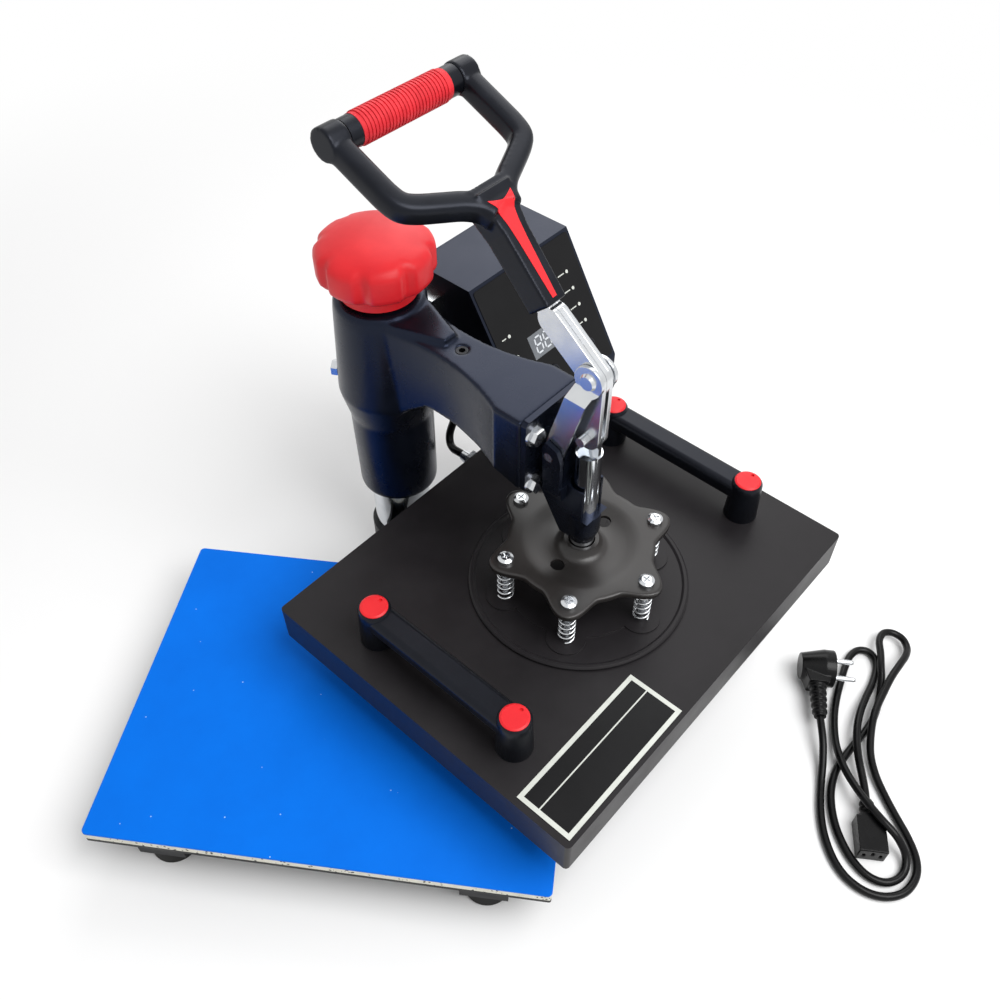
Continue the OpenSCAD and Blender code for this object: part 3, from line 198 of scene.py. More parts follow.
# surfaces: each starts from the real material and how it was made, with mottle and grain in millimetres
surfaceLooks = {
    # gloss enamel sprayed on a casting: deep black, soft orange peel, long highlights, with a painted blue
    # reflection in its colour and highlights
    "castEnamelBlack": dict(colour="#080a10", tint="#0c1019", mottle=40, grain=2.6, bump=0.05,
                            rough=(0.22, 0.32), specular=0.32, paintedReflectionTint="#bccdff"),
    # powder coat on steel: fine even grain, satin sheen
    "powderCoatBlack": dict(colour="#121315", tint="#18191c", mottle=30, grain=0.9, bump=0.12,
                            rough=(0.42, 0.55), specular=0.22),
    # stoved paint on folded sheet: brownish black with a wide soft sheen, its grain drawn coarser than life
    "stovedSheetBlack": dict(colour="#1b191b", tint="#211f21", mottle=55, grain=0.7, bump=0.08,
                             rough=(0.36, 0.46), specular=0.2),
    # enamel on the folded box: black with a painted blue reflection in its colour and highlights, smoother than
    # the cover
    "boxEnamelBlack": dict(colour="#0b0c11", tint="#0f1218", mottle=50, grain=0.9, bump=0.05,
                           rough=(0.3, 0.38), specular=0.34, paintedReflectionTint="#bccdff"),
    # pressed sheet under thin black paint: warm black with a broad highlight in its dish
    "pressedSheetBlack": dict(colour="#1f1d1c", tint="#272423", mottle=40, grain=0.8, bump=0.05,
                              rough=(0.29, 0.35), specular=0.42),
    # hard chrome on a ground rod: bright, with faint wiping marks
    "hardChrome": dict(colour="#dfe2e6", tint="#cfd3d8", mottle=18, grain=5, bump=0.01,
                       rough=(0.05, 0.13), metallic=1.0),
    # bright zinc plate: pale blue grey with cloudy patches
    "brightZinc": dict(colour="#d2d4d6", tint="#c9ccd0", mottle=16, grain=1.2, bump=0.02,
                       rough=(0.2, 0.26), metallic=1.0),
    # black oxide on a screw: dark oily grey
    "blackOxide": dict(colour="#2a2b2e", tint="#1d1e20", mottle=4, grain=0.6, bump=0.04,
                       rough=(0.3, 0.42), metallic=0.8),
    # ABS moulded in a spark-eroded tool: fine matt grain, with a faint painted blue reflection in its
    # highlights
    "mouldedAbsBlack": dict(colour="#0a0b0f", tint="#0f1116", mottle=25, grain=0.8, bump=0.07,
                            rough=(0.28, 0.38), specular=0.22, paintedReflectionTint="#e6ecff"),
    # the same ABS in red: a warm red that goes paler where the light rakes it
    "mouldedAbsRed": dict(colour="#e2252c", tint="#d81f28", mottle=30, grain=1.1, bump=0.05,
                          rough=(0.34, 0.44), specular=0.3),
    # natural rubber sleeve in red: matt, a little dusty
    "sleeveRubberRed": dict(colour="#d62a34", tint="#c2212b", mottle=9, grain=0.7, bump=0.12,
                            rough=(0.5, 0.62), specular=0.3),
    # moulded rubber feet: dull black
    "footRubberBlack": dict(colour="#141414", tint="#1c1c1b", mottle=8, grain=0.8, bump=0.12,
                            rough=(0.62, 0.75), specular=0.3),
    # soft PVC jacket: black with a narrow wet-looking highlight
    "pvcJacketBlack": dict(colour="#070708", tint="#0b0b0c", mottle=20, grain=1.5, bump=0.03,
                           rough=(0.24, 0.32), specular=0.18),
    # cast aluminium with a dark non-stick coat: fine speckle
    "coatedAluminium": dict(colour="#3a3b3d", tint="#46484a", mottle=3, grain=0.6, bump=0.05,
                            rough=(0.38, 0.5), metallic=0.3),
    # mineral fibre blanket: pale, loose and matt
    "mineralFibre": dict(colour="#cfc39c", tint="#b7a97f", mottle=6, grain=1.5, bump=0.4,
                         rough=(0.85, 0.95)),
    # printed polyester film: near black with a smooth low gloss
    "panelFilmBlack": dict(colour="#08080a", tint="#0b0b0d", mottle=30, grain=0.8, bump=0.02,
                           rough=(0.28, 0.34), specular=0.2),
    # smoked acrylic over the display: flat grey with a hard gloss
    "smokedAcrylic": dict(colour="#6d7176", tint="#60646a", mottle=30, grain=4, bump=0.0,
                          rough=(0.1, 0.14), coat=0.4),
    # glass-fibre board under solder mask: dark green, half gloss
    "boardGreen": dict(colour="#1d5a34", tint="#174a2b", mottle=12, grain=0.8, bump=0.03,
                       rough=(0.4, 0.5)),
    # screen-printed white ink: matt and a little grey
    "printWhite": dict(colour="#cdd0c9", tint="#c3c6bf", mottle=8, grain=0.7, bump=0.03,
                       rough=(0.5, 0.6)),
}
# what all the surfaces share
surfaceBase = {"coatRough": 0.12, "blend": (0.35, 0.7), "spread": (0.3, 0.7), "bumpDeep": 0.2}


def makeSurface(name, look):
    material = bpy.data.materials.new(name)
    material.use_nodes = True
    tree = material.node_tree
    shader = tree.nodes["Principled BSDF"]
    shader.inputs["Metallic"].default_value = look.get("metallic", 0.0)
    shader.inputs["Specular IOR Level"].default_value = look.get("specular", 0.5)
    # the reflection tint paints a blue sky reflection into a surface's highlights
    if look.get("paintedReflectionTint"):
        shader.inputs["Specular Tint"].default_value = linear(look["paintedReflectionTint"])
    if look.get("coat"):
        shader.inputs["Coat Weight"].default_value = look["coat"]
        shader.inputs["Coat Roughness"].default_value = surfaceBase["coatRough"]
    where = addNode(tree, "ShaderNodeTexCoord")
    cloud = addNode(tree, "ShaderNodeTexNoise",
                    {"Scale": 1000 / look["mottle"], "Detail": 4.0, "Roughness": 0.6},
                    {"Vector": where.outputs["Object"]})
    grain = addNode(tree, "ShaderNodeTexNoise",
                    {"Scale": 1000 / look["grain"], "Detail": 2.0, "Roughness": 0.5},
                    {"Vector": where.outputs["Object"]})
    colour = addNode(tree, "ShaderNodeValToRGB", None, {"Fac": cloud.outputs["Fac"]})
    shades = (look["colour"], look["tint"])
    for stop, place, shade in zip(colour.color_ramp.elements, surfaceBase["blend"], shades):
        stop.position = place
        stop.color = linear(shade)
    tree.links.new(colour.outputs["Color"], shader.inputs["Base Color"])
    start, end = surfaceBase["spread"]
    low, high = look["rough"]
    rough = addNode(tree, "ShaderNodeMapRange",
                    {"From Min": start, "From Max": end, "To Min": low, "To Max": high},
                    {"Value": cloud.outputs["Fac"]})
    tree.links.new(rough.outputs["Result"], shader.inputs["Roughness"])
    if look["bump"] > 0:
        bump = addNode(tree, "ShaderNodeBump",
                       {"Strength": look["bump"], "Distance": surfaceBase["bumpDeep"] * mm},
                       {"Height": grain.outputs["Fac"]})
        tree.links.new(bump.outputs["Normal"], shader.inputs["Normal"])
    return material


# specks over a surface, all over or only in cloudy patches, with their spacing in millimetres
def addSpecks(material, look):
    tree = material.node_tree
    shader = tree.nodes["Principled BSDF"]
    where = addNode(tree, "ShaderNodeTexCoord")
    cells = addNode(tree, "ShaderNodeTexVoronoi", {"Scale": 1000 / look["spacing"], "Randomness": 1.0},
                    {"Vector": where.outputs["Object"]})
    speck = addNode(tree, "ShaderNodeMath", {"operation": "LESS_THAN", 1: look["reach"]},
                    {0: cells.outputs["Distance"]})
    if look.get("patch"):
        cloud = addNode(tree, "ShaderNodeTexNoise", {"Scale": 1000 / look["patch"], "Detail": 2.0},
                        {"Vector": where.outputs["Object"]})
        patchy = addNode(tree, "ShaderNodeMath", {"operation": "GREATER_THAN", 1: 0.5},
                         {0: cloud.outputs["Fac"]})
        speck = addNode(tree, "ShaderNodeMath", {"operation": "MULTIPLY"},
                        {0: speck.outputs["Value"], 1: patchy.outputs["Value"]})
    baseColour = shader.inputs["Base Color"].links[0].from_socket
    mixed = addNode(tree, "ShaderNodeMix", {"data_type": "RGBA", 7: linear(look["speck"])},
                    {0: speck.outputs["Value"], 6: baseColour})
    tree.links.new(mixed.outputs[2], shader.inputs["Base Color"])
    return material


surfaces = {name: makeSurface(name, look) for name, look in surfaceLooks.items()}

# silicone sheet: matt blue with small pale flecks of dust in its skin
siliconeLook = dict(colour="#0571e4", tint="#056cdd", mottle=70, grain=1.0, bump=0.06, rough=(0.5, 0.62),
                    specular=0.06, speck="#9fc4f5", spacing=17, reach=0.035)
siliconeBlue = addSpecks(makeSurface("siliconeSheetBlue", siliconeLook), siliconeLook)

# silicone foam: off-white with dark pores and flecks that show on its cut edge
foamLook = dict(colour="#e3e2d6", tint="#d3d2c4", mottle=6, grain=1.2, bump=0.3, rough=(0.8, 0.9),
                speck="#26282b", spacing=3.4, reach=0.3, patch=7.142857)
foamGrey = addSpecks(makeSurface("speckledFoam", foamLook), foamLook)

# lit segments of the display: pale, a little bright
segmentLook = dict(colour="#c8ccd1", tint="#c8ccd1", mottle=10, grain=2, bump=0.0, rough=(0.3, 0.4), glow=0.1)
segmentGlow = makeSurface("litSegment", segmentLook)
segmentShader = segmentGlow.node_tree.nodes["Principled BSDF"]
segmentShader.inputs["Emission Color"].default_value = linear(segmentLook["colour"])
segmentShader.inputs["Emission Strength"].default_value = segmentLook["glow"]
print("surfaces made")

# mains lead on the table: the route of the CAD tube, in millimetres above the table
leadLook = {
    "diameter": 7.0, "steps": 4, "sides": 4,
    "route": [
        (417.5, 64, 18), (418, 54, 18), (419, 40, 15), (419, 24, 9), (417, 5, 4.5), (415, -14.5, 4),
        (415, -32.5, 4), (417.5, -49, 4), (423, -65, 4), (431, -77, 4), (442, -85.5, 4), (454, -89.5, 4),
        (466.5, -89, 4), (478, -84, 4), (486.5, -74.5, 4), (491, -63.5, 4), (491, -50.5, 4),
        (486.5, -34.5, 4), (479, -17, 4), (472, 0, 4.5), (466, 17.5, 5.5), (463, 34.5, 7), (463.5, 50, 9),
        (466.5, 68, 11.5), (472, 84.5, 12.5), (480, 101.5, 14), (488.5, 118, 16), (498, 133, 16),
        (506, 146, 13), (510, 158, 9), (507, 168.5, 9), (498, 174, 9.5), (488.5, 171.5, 11), (483, 161, 12),
        (482.5, 147, 12.5), (481.5, 132, 12), (481, 116, 8), (477.5, 98, 4.5), (471.5, 80, 4),
        (461.5, 63, 4), (450, 48, 4), (439, 32.5, 4), (431, 18.5, 4), (426, 2.5, 4), (424.5, -13, 4),
        (426, -30.5, 4), (430.5, -46.5, 4), (437.5, -61, 4), (447, -72, 4), (457, -77, 4), (466.5, -77, 4),
        (475.5, -72, 4), (481, -63.5, 5), (481.5, -54, 9), (477, -47, 15), (470.5, -40.5, 20),
        (461.5, -31.5, 22), (453, -19.5, 21), (445, -4.5, 18), (438.5, 12, 14), (434, 28, 12),
        (432.5, 44.5, 8), (433, 61, 5.5), (435, 79.5, 4.5), (439, 97.5, 4), (444, 114.5, 4), (449, 130, 4),
        (455, 144, 4), (463.5, 152.5, 4), (473, 152.5, 4), (479, 145, 4), (479, 133, 4), (473.5, 116, 4.5),
        (464.5, 97, 7.5), (457, 79, 10), (452, 61, 12), (450, 44, 12.5), (450.5, 27, 12), (452.5, 12, 10),
        (453.5, 1, 9), (453.5, -8, 9)],
}


def smoothRoute(points, steps):
    rows = [Vector(p) for p in points]
    rows = [rows[0] * 2 - rows[1]] + rows + [rows[-1] * 2 - rows[-2]]
    out = []
    for i in range(1, len(rows) - 2):
        a, b, c, d = rows[i - 1:i + 3]
        bend = 2 * a - 5 * b + 4 * c - d
        twist = 3 * b - a - 3 * c + d
        for k in range(steps):
            t = k / steps
            out.append(0.5 * (2 * b + (c - a) * t + bend * t * t + twist * t ** 3))
    return out + [rows[-2]]


def cordCurve(name, points, diameter, sides):
    data = bpy.data.curves.new(name, "CURVE")
    data.dimensions = "3D"
    data.bevel_depth = diameter / 2
    data.bevel_resolution = sides
    data.use_fill_caps = True
    line = data.splines.new("POLY")
    line.points.add(len(points) - 1)
    for point, place in zip(line.points, points):
        point.co = (*place, 1)
    piece = bpy.data.objects.new(name, data)
    scene.collection.objects.link(piece)
    return piece


def meshOf(curve, material):
    pick(curve)
    bpy.ops.object.convert(target="MESH")
    piece = bpy.context.object
    piece.data.materials.clear()
    piece.data.materials.append(material)
    return piece


leadPoints = [p * mm + Vector((0, 0, tableTop)) for p in smoothRoute(leadLook["route"], leadLook["steps"])]
lead = cordCurve("mainsLead", leadPoints, leadLook["diameter"] * mm, leadLook["sides"])
finishPiece(lead, surfaces["pvcJacketBlack"], "base", ["mains_cord"])
print("mains lead laid")

# heater cable from the control box to the platen
heaterLook = {
    "diameter": 8.0, "steps": 6, "sides": 4,
    "route": [(68, 199, 151), (68, 199, 137), (67, 200, 122), (65, 204, 105), (62, 208, 88), (58, 209, 76),
              (54, 205, 69), (51, 198, 68), (50, 190, 69.5), (50, 182.2, 70), (50, 170.2, 70)],
}
heaterPoints = [armTurn @ (p * mm) for p in smoothRoute(heaterLook["route"], heaterLook["steps"])]
heaterCurve = cordCurve("heaterCable", heaterPoints, heaterLook["diameter"] * mm, heaterLook["sides"])
heater = meshOf(heaterCurve, surfaces["pvcJacketBlack"])
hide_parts("heater_cable")
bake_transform(heater)
print("heater cable hung")

# CAD nodes keep their shape: each gets its surface
nodeSurface = {
    "castEnamelBlack": ["cast_arm", "toggle_bracket"],
    "powderCoatBlack": ["runners", "crossbars", "rear_plate", "column_socket", "lower_plate"],
    "pressedSheetBlack": ["spider_plate"],
    "stovedSheetBlack": ["platen_cover", "spring_disc"],
    "boxEnamelBlack": ["control_box", "box_back"],
    "hardChrome": ["column_tube", "plunger_rod"],
    "brightZinc": ["column_nut", "foot_screws", "plate_bolts", "thrust_washer", "pressure_screw", "hub_bolt",
                   "bracket_bolts", "link_pivot_pin", "box_bracket", "box_screws", "toggle_links", "link_rivet",
                   "lever_plates", "lever_core", "plunger_pin", "rod_nut", "spring_screws", "coil_springs",
                   "platen_gland"],
    "blackOxide": ["arm_set_screw"],
    "footRubberBlack": ["rubber_feet"],
    "pvcJacketBlack": ["cord_plug", "cord_connector", "mains_cord", "heater_cable"],
    "mouldedAbsRed": ["pressure_knob", "handle_stripe", "handle_caps", "power_rocker"],
    "sleeveRubberRed": ["grip_sleeve"],
    "mouldedAbsBlack": ["handle_frame", "grip_tube", "lifting_handles", "power_inlet", "switch_bezel",
                        "key_up", "key_down", "key_set", "key_mode"],
    "mineralFibre": ["insulation_blanket"],
    "coatedAluminium": ["heating_plate"],
    "panelFilmBlack": ["panel_overlay"],
    "smokedAcrylic": ["display_window"],
    "boardGreen": ["circuit_board"],
}
nodeSmooth = 32  # edges sharper than this stay crisp
surfaceOf = {n: surfaces[name] for name, members in nodeSurface.items() for n in members}
surfaceOf["silicone_pad"] = siliconeBlue
surfaceOf["foam_sheet"] = foamGrey
for name, piece in nodes.items():
    piece.data.materials.clear()
    piece.data.materials.append(surfaceOf[name])
    smoothBy(piece, nodeSmooth)
print("CAD nodes dressed")


# a piece of the scene takes over its node's surface, body and slot
def replaceNode(piece, node):
    return finishPiece(piece, surfaceOf[node], bodyOf[node], [node])


# edges that a mould, a casting or a fold leaves round, in millimetres: a merged copy of the node, bevelled
roundedEdges = {
    "toggle_bracket": 1.0, "control_box": 1.2, "platen_cover": 1.4,
    "lifting_handles": 1.6, "lever_plates": 0.5, "toggle_links": 0.5, "runners": 1.5,
    "column_socket": 1.0, "lower_plate": 0.8, "spring_disc": 0.5,
}
edgeLook = {"flat": 0.6, "segments": 3, "sharp": 35, "smooth": 40, "weight": 100}
for node, width in roundedEdges.items():
    piece = mergedCopy(node + "_shell", node, edgeLook["flat"])
    modify(piece, "BEVEL", width=width * mm, segments=edgeLook["segments"], limit_method="ANGLE",
           angle_limit=math.radians(edgeLook["sharp"]), use_clamp_overlap=True)
    smoothBy(piece, edgeLook["smooth"])
    modify(piece, "WEIGHTED_NORMAL", weight=edgeLook["weight"], keep_sharp=True)
    replaceNode(piece, node)
print("edges rounded")


# soft edges all over: a skin drawn round a piece at a step in millimetres, and eased
def drawSkin(piece, look):
    modify(piece, "REMESH", mode="VOXEL", voxel_size=look["step"] * mm)
    modify(piece, "SMOOTH", factor=0.5, iterations=look["rounds"])
    bpy.ops.object.shade_smooth()


armLook = {"step": 1.5, "rounds": 14}
armSkin = mergedCopy("cast_arm_skin", "cast_arm")
drawSkin(armSkin, armLook)
replaceNode(armSkin, "cast_arm")
print("arm cast", len(armSkin.data.polygons))

# handle: shaft, web, two swept fork arms and two bosses under one skin, in the shaft's and the fork's planes
handleLook = {
    "root": (0, 38.7, 342.2), "tilt": 48, "fork": (0, 101.6, 412.06), "forkTilt": 24,
    "shaft": [(-10, 10), (10, 10), (11, 66), (14, 84), (16, 97), (-16, 97), (-14, 84), (-11, 66)],
    "shaftDeep": 22, "web": [(-11, -14), (11, -14), (18, 5), (-18, 5)],
    "armDeep": 18, "armWide": 16.5, "square": 0.55, "sides": 24, "armSteps": 6,
    "arm": [(7, -16), (11.5, -6.5), (21, 1.5), (35, 8.5), (50, 16), (58, 22.5), (60.6, 32), (61, 46),
            (61, 66), (61, 86)],
    "boss": 12, "bossLong": 17, "step": 0.9, "rounds": 16,
}


def slab(name, outline, low, high):
    piece = newPiece(name, [(x * mm, y * mm, low * mm) for x, y in outline], [list(range(len(outline)))])
    editAll(piece)
    bpy.ops.mesh.extrude_region_move(TRANSFORM_OT_translate={"value": (0, 0, (high - low) * mm)})
    faceOutward()
    return piece


def turned(place, tilt):
    return armTurn @ Matrix.Translation(Vector(place) * mm) @ Matrix.Rotation(math.radians(tilt), 4, "X")


def sweptArm(look, side):
    ring = []
    for k in range(look["sides"]):
        angle = 2 * math.pi * k / look["sides"]
        u, w = (math.copysign(abs(v) ** look["square"], v) for v in (math.cos(angle), math.sin(angle)))
        ring.append((u * look["armWide"] / 2, w * look["armDeep"] / 2))
    route = smoothRoute([(x, y, 0) for x, y in look["arm"]], look["armSteps"])
    path = [Vector((side * x, y, 0)) * mm for x, y, z in route]
    points, last, n = [], len(path) - 1, len(ring)
    for k, place in enumerate(path):
        ahead = (path[min(k + 1, last)] - path[max(k - 1, 0)]).normalized()
        across = Vector((-ahead.y, ahead.x, 0))
        points += [place + across * (u * mm) + Vector((0, 0, w * mm)) for u, w in ring]
    foot, tip = list(range(n)), list(range(last * n, len(path) * n))
    faces = [foot] + bandFaces(len(path), n, closedColumns=True) + [tip]
    arm = newPiece("forkArm", points, faces)
    editAll(arm)
    faceOutward()
    return arm


def makeHandle(look):
    shaft = slab("handleFrame", look["shaft"], -look["shaftDeep"] / 2, look["shaftDeep"] / 2)
    shaft.data.transform(turned(look["root"], look["tilt"]))
    fork = [slab("forkWeb", look["web"], -look["armDeep"] / 2, look["armDeep"] / 2)]
    endX, endY = look["arm"][-1]
    for side in (-1, 1):
        fork.append(sweptArm(look, side))
        deselect()
        bpy.ops.mesh.primitive_cylinder_add(
            vertices=roundSides, radius=look["boss"] * mm, depth=look["bossLong"] * mm,
            location=(side * endX * mm, endY * mm, 0), rotation=(0, math.radians(90), 0))
        fork.append(settle(bpy.context.object))
    for part in fork:
        part.data.transform(turned(look["fork"], look["forkTilt"]))
    handle = joinParts("handleFrame", [shaft] + fork)
    drawSkin(handle, look)
    return replaceNode(handle, "handle_frame")


handleFrame = makeHandle(handleLook)
print("handle moulded", len(handleFrame.data.polygons))

# red inlay on the shaft's front face: it widens to two horns under the fork, and hugs the handle's skin
inlayLook = {
    "foot": 14, "valley": 86.5, "horn": 4.5, "hornCurve": 1.4, "rows": 48, "columns": 12, "lift": 14,
    "proud": 0.3, "thick": 1.2, "smooth": 45,
    "halves": [(14, 2.1), (58, 4.2), (70, 5.2), (78, 6.8), (85, 9.2), (90, 11), (95, 11.6)],
}


def inlayHalf(y, look):
    for (a, p), (b, q) in zip(look["halves"], look["halves"][1:]):
        if y <= b:
            return p + (q - p) * (y - a) / (b - a)
    return look["halves"][-1][1]


def makeInlay(look, handle):
    points = []
    for k in range(look["rows"] + 1):
        t = k / look["rows"]
        for j in range(look["columns"] + 1):
            u = 2 * j / look["columns"] - 1
            top = look["valley"] + look["horn"] * abs(u) ** look["hornCurve"]
            y = look["foot"] + (top - look["foot"]) * t
            points.append((u * inlayHalf(y, look) * mm, y * mm, look["lift"] * mm))
    inlay = newPiece("handleInlay", points, bandFaces(look["rows"] + 1, look["columns"] + 1))
    inlay.data.transform(turned(handleLook["root"], handleLook["tilt"]))
    modify(inlay, "SHRINKWRAP", target=handle, wrap_method="NEAREST_SURFACEPOINT", wrap_mode="ABOVE_SURFACE",
           offset=look["proud"] * mm)
    modify(inlay, "SOLIDIFY", thickness=look["thick"] * mm, offset=-1)
    smoothBy(inlay, look["smooth"])
    return replaceNode(inlay, "handle_stripe")


makeInlay(inlayLook, handleFrame)
print("inlay laid")

# plug and connector on the lead: moulded bodies with ribbed reliefs, and two plated pins, above the table
plugLook = {
    "relief": ((417.5, 64.1, 18), (417.5, 106, 18), 5.5, 7.5),
    "ribs": 5, "ribStep": 6.6, "ribLong": 3, "ribProud": 1.3, "ribStart": 4,
    "face": ((424, 118, 18), (433.5, 118, 18), 17.8, 17.8),
    "back": ((402.5, 118, 18), (424, 118, 18), 12.5, 17.8),
    "wedge": [(408.5, 97), (426.5, 97), (432, 113), (404, 113)], "wedgeDeep": (8, 28), "step": 0.6, "rounds": 4,
    "pinAt": (433, 118, 18), "pinOut": 20.5, "pinGap": 9.5, "pin": 2.4,
    "pinTip": 2, "pinTaper": 0.6, "pinSmooth": 35,
}
connectorLook = {
    "relief": ((453.5, -8.1, 9), (453.5, -27.1, 9), 5, 6.5),
    "ribs": 3, "ribStep": 5, "ribLong": 2.6, "ribProud": 1.2, "ribStart": 2.5,
    "wedge": [(446, -23), (461, -23), (465.5, -33), (441.5, -33)], "wedgeDeep": (0.3, 17.7),
    "step": 0.6, "rounds": 3,
}


def coneAlong(start, end, low, high):
    a, b = (Vector(v) * mm + Vector((0, 0, tableTop)) for v in (start, end))
    deselect()
    bpy.ops.mesh.primitive_cone_add(
        vertices=roundSides, radius1=low * mm, radius2=high * mm, depth=(b - a).length, location=(a + b) / 2,
        rotation=(b - a).to_track_quat("Z", "Y").to_euler())
    return settle(bpy.context.object)


def ribbedRelief(look):
    start, end, low, high = look["relief"]
    a, b = Vector(start), Vector(end)
    along = (b - a).normalized()
    parts = [coneAlong(start, end, low, high)]
    for k in range(look["ribs"]):
        foot = look["ribStart"] + k * look["ribStep"]
        radius = low + (high - low) * foot / (b - a).length + look["ribProud"]
        parts.append(coneAlong(a + along * foot, a + along * (foot + look["ribLong"]), radius, radius))
    wedge = slab("reliefWedge", look["wedge"], *look["wedgeDeep"])
    wedge.data.transform(Matrix.Translation((0, 0, tableTop)))
    return parts + [wedge]


def mouldOnLead(name, parts, look, node):
    piece = joinParts(name, parts)
    drawSkin(piece, look)
    return replaceNode(piece, node)


def makePins(look):
    x, y, z = look["pinAt"]
    end = x + look["pinOut"]
    neck, tip = end - look["pinTip"], look["pin"] * look["pinTaper"]
    parts = []
    for side in (-1, 1):
        across = y + side * look["pinGap"]
        parts.append(coneAlong((x, across, z), (neck, across, z), look["pin"], look["pin"]))
        parts.append(coneAlong((neck, across, z), (end, across, z), look["pin"], tip))
    pins = joinParts("plugPins", parts)
    smoothBy(pins, look["pinSmooth"])
    return finishPiece(pins, surfaces["brightZinc"], "base")


connectorBody = mergedCopy("connectorCopy", "cord_connector")
plugParts = ribbedRelief(plugLook) + [coneAlong(*plugLook[k]) for k in ("face", "back")]
plug = mouldOnLead("leadPlug", plugParts, plugLook, "cord_plug")
plugPins = makePins(plugLook)
connectorParts = [connectorBody] + ribbedRelief(connectorLook)
connector = mouldOnLead("leadConnector", connectorParts, connectorLook, "cord_connector")
print("plug and connector moulded")

# pressure knob: a lobed outline drawn up ring by ring, with hollows that fade out on its dome
# each ring is a height, a reach and how far it is evened to a circle
knobLook = {
    "foot": 277, "radius": 49, "lobes": 8, "turn": 22.5, "hollow": 4.2, "half": 10, "points": 192,
    "near": 0.02, "smooth": 50,
    "rings": [(0, 33, 1), (13.6, 33, 1), (14.2, 41, 1), (16.2, 45.6, 0.35), (19.5, 48.2, 0.05), (23, 49, 0),
              (30, 49, 0), (37, 49, 0), (39.6, 48.6, 0.05), (42.2, 47.4, 0.2), (44.6, 45, 0.5),
              (46.6, 41.4, 0.85), (48.8, 35, 1), (50.8, 25, 1), (52.2, 14, 1), (52.6, 4, 1)],
}


def swell(off, half):
    return 0.5 + 0.5 * math.cos(math.pi * off / half) if off < half else 0.0


def knobReach(angle, look):
    step = 360 / look["lobes"]
    return look["radius"] - look["hollow"] * swell(abs(angle % step - step / 2), look["half"])


def makeKnob(look):
    points = []
    for k in range(look["points"]):
        angle = 360 * k / look["points"]
        reach = knobReach(angle - look["turn"], look)
        x, y = reach * math.cos(math.radians(angle)), reach * math.sin(math.radians(angle))
        points.append((x * mm, y * mm, 0))
    knob = newPiece("pressureKnob", points, [list(range(len(points)))])
    editAll(knob)
    height, reach = 0, look["radius"]
    for k, (z, radius, even) in enumerate(look["rings"]):
        if k:
            bpy.ops.mesh.extrude_region_move(TRANSFORM_OT_translate={"value": (0, 0, (z - height) * mm)})
        bpy.ops.transform.resize(value=(radius / reach, radius / reach, 1), center_override=(0, 0, z * mm))
        height, reach = z, radius
    faceOutward()
    for z, radius, even in look["rings"]:
        for point in (v.co for v in knob.data.vertices if abs(v.co.z - z * mm) < look["near"] * mm):
            grow = 1 + (radius * mm / point.xy.length - 1) * even
            point.x *= grow
            point.y *= grow
    smoothBy(knob, look["smooth"])
    knob.data.transform(Matrix.Translation(Vector(armPlace["column"]) + Vector((0, 0, look["foot"] * mm))))
    return replaceNode(knob, "pressure_knob")


makeKnob(knobLook)
print("knob drawn up")

# six-armed plate: a pressing with a waved rim, a shallow dish, a collar round the rod and two round holes
# the dish is reach and height, the rim is inset and height
spiderLook = {
    "valley": 61.5, "tip": 79.8, "arms": 6, "half": 23, "points": 240, "thick": 6,
    "hole": 12, "holeAt": 31, "holeSides": 40, "drill": 40, "smooth": 40,
    "dish": [(11.3, -6), (11.3, 3.5), (14.5, 3.5), (17, -1.2), (19.5, -3.3), (24, -4), (29, -3.9), (34, -3.4),
             (39, -2.4), (44, -1.1), (48, -0.3), (51, 0)],
    "rim": [(3.4, 0), (1.2, -0.1), (0.3, -0.6), (0, -1.4), (0, -4.6), (0.3, -5.4), (1.2, -5.9), (3.4, -6)],
}


def waveReach(angle, look):
    step = 360 / look["arms"]
    rise = look["tip"] - look["valley"]
    return look["valley"] + rise * swell(abs(angle % step - step / 2), look["half"])


def makeSpider(look):
    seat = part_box("spider_plate")[0][2] + look["thick"] * mm
    points, count = [], len(look["dish"]) + len(look["rim"])
    for k in range(look["points"]):
        angle = 360 * k / look["points"]
        reach = waveReach(angle, look)
        out = Vector((math.cos(math.radians(angle)), math.sin(math.radians(angle)), 0))
        for radius, z in look["dish"] + [(reach - inward, z) for inward, z in look["rim"]]:
            points.append(out * (radius * mm) + Vector((0, 0, seat + z * mm)))
    faces = bandFaces(look["points"], count, closedRows=True, closedColumns=True)
    plate = newPiece("sixArmedPlate", points, faces)
    editAll(plate)
    faceOutward()
    for side in (-1, 1):
        deselect()
        bpy.ops.mesh.primitive_cylinder_add(
            vertices=look["holeSides"], radius=look["hole"] / 2 * mm, depth=look["drill"] * mm,
            location=(side * look["holeAt"] * mm, 0, seat))
        drill = settle(bpy.context.object)
        modify(plate, "BOOLEAN", object=drill, solver="EXACT")
        bpy.data.objects.remove(drill)
    smoothBy(plate, look["smooth"])
    plate.data.transform(armTurn)
    return replaceNode(plate, "spider_plate")


makeSpider(spiderLook)
print("six-armed plate pressed")

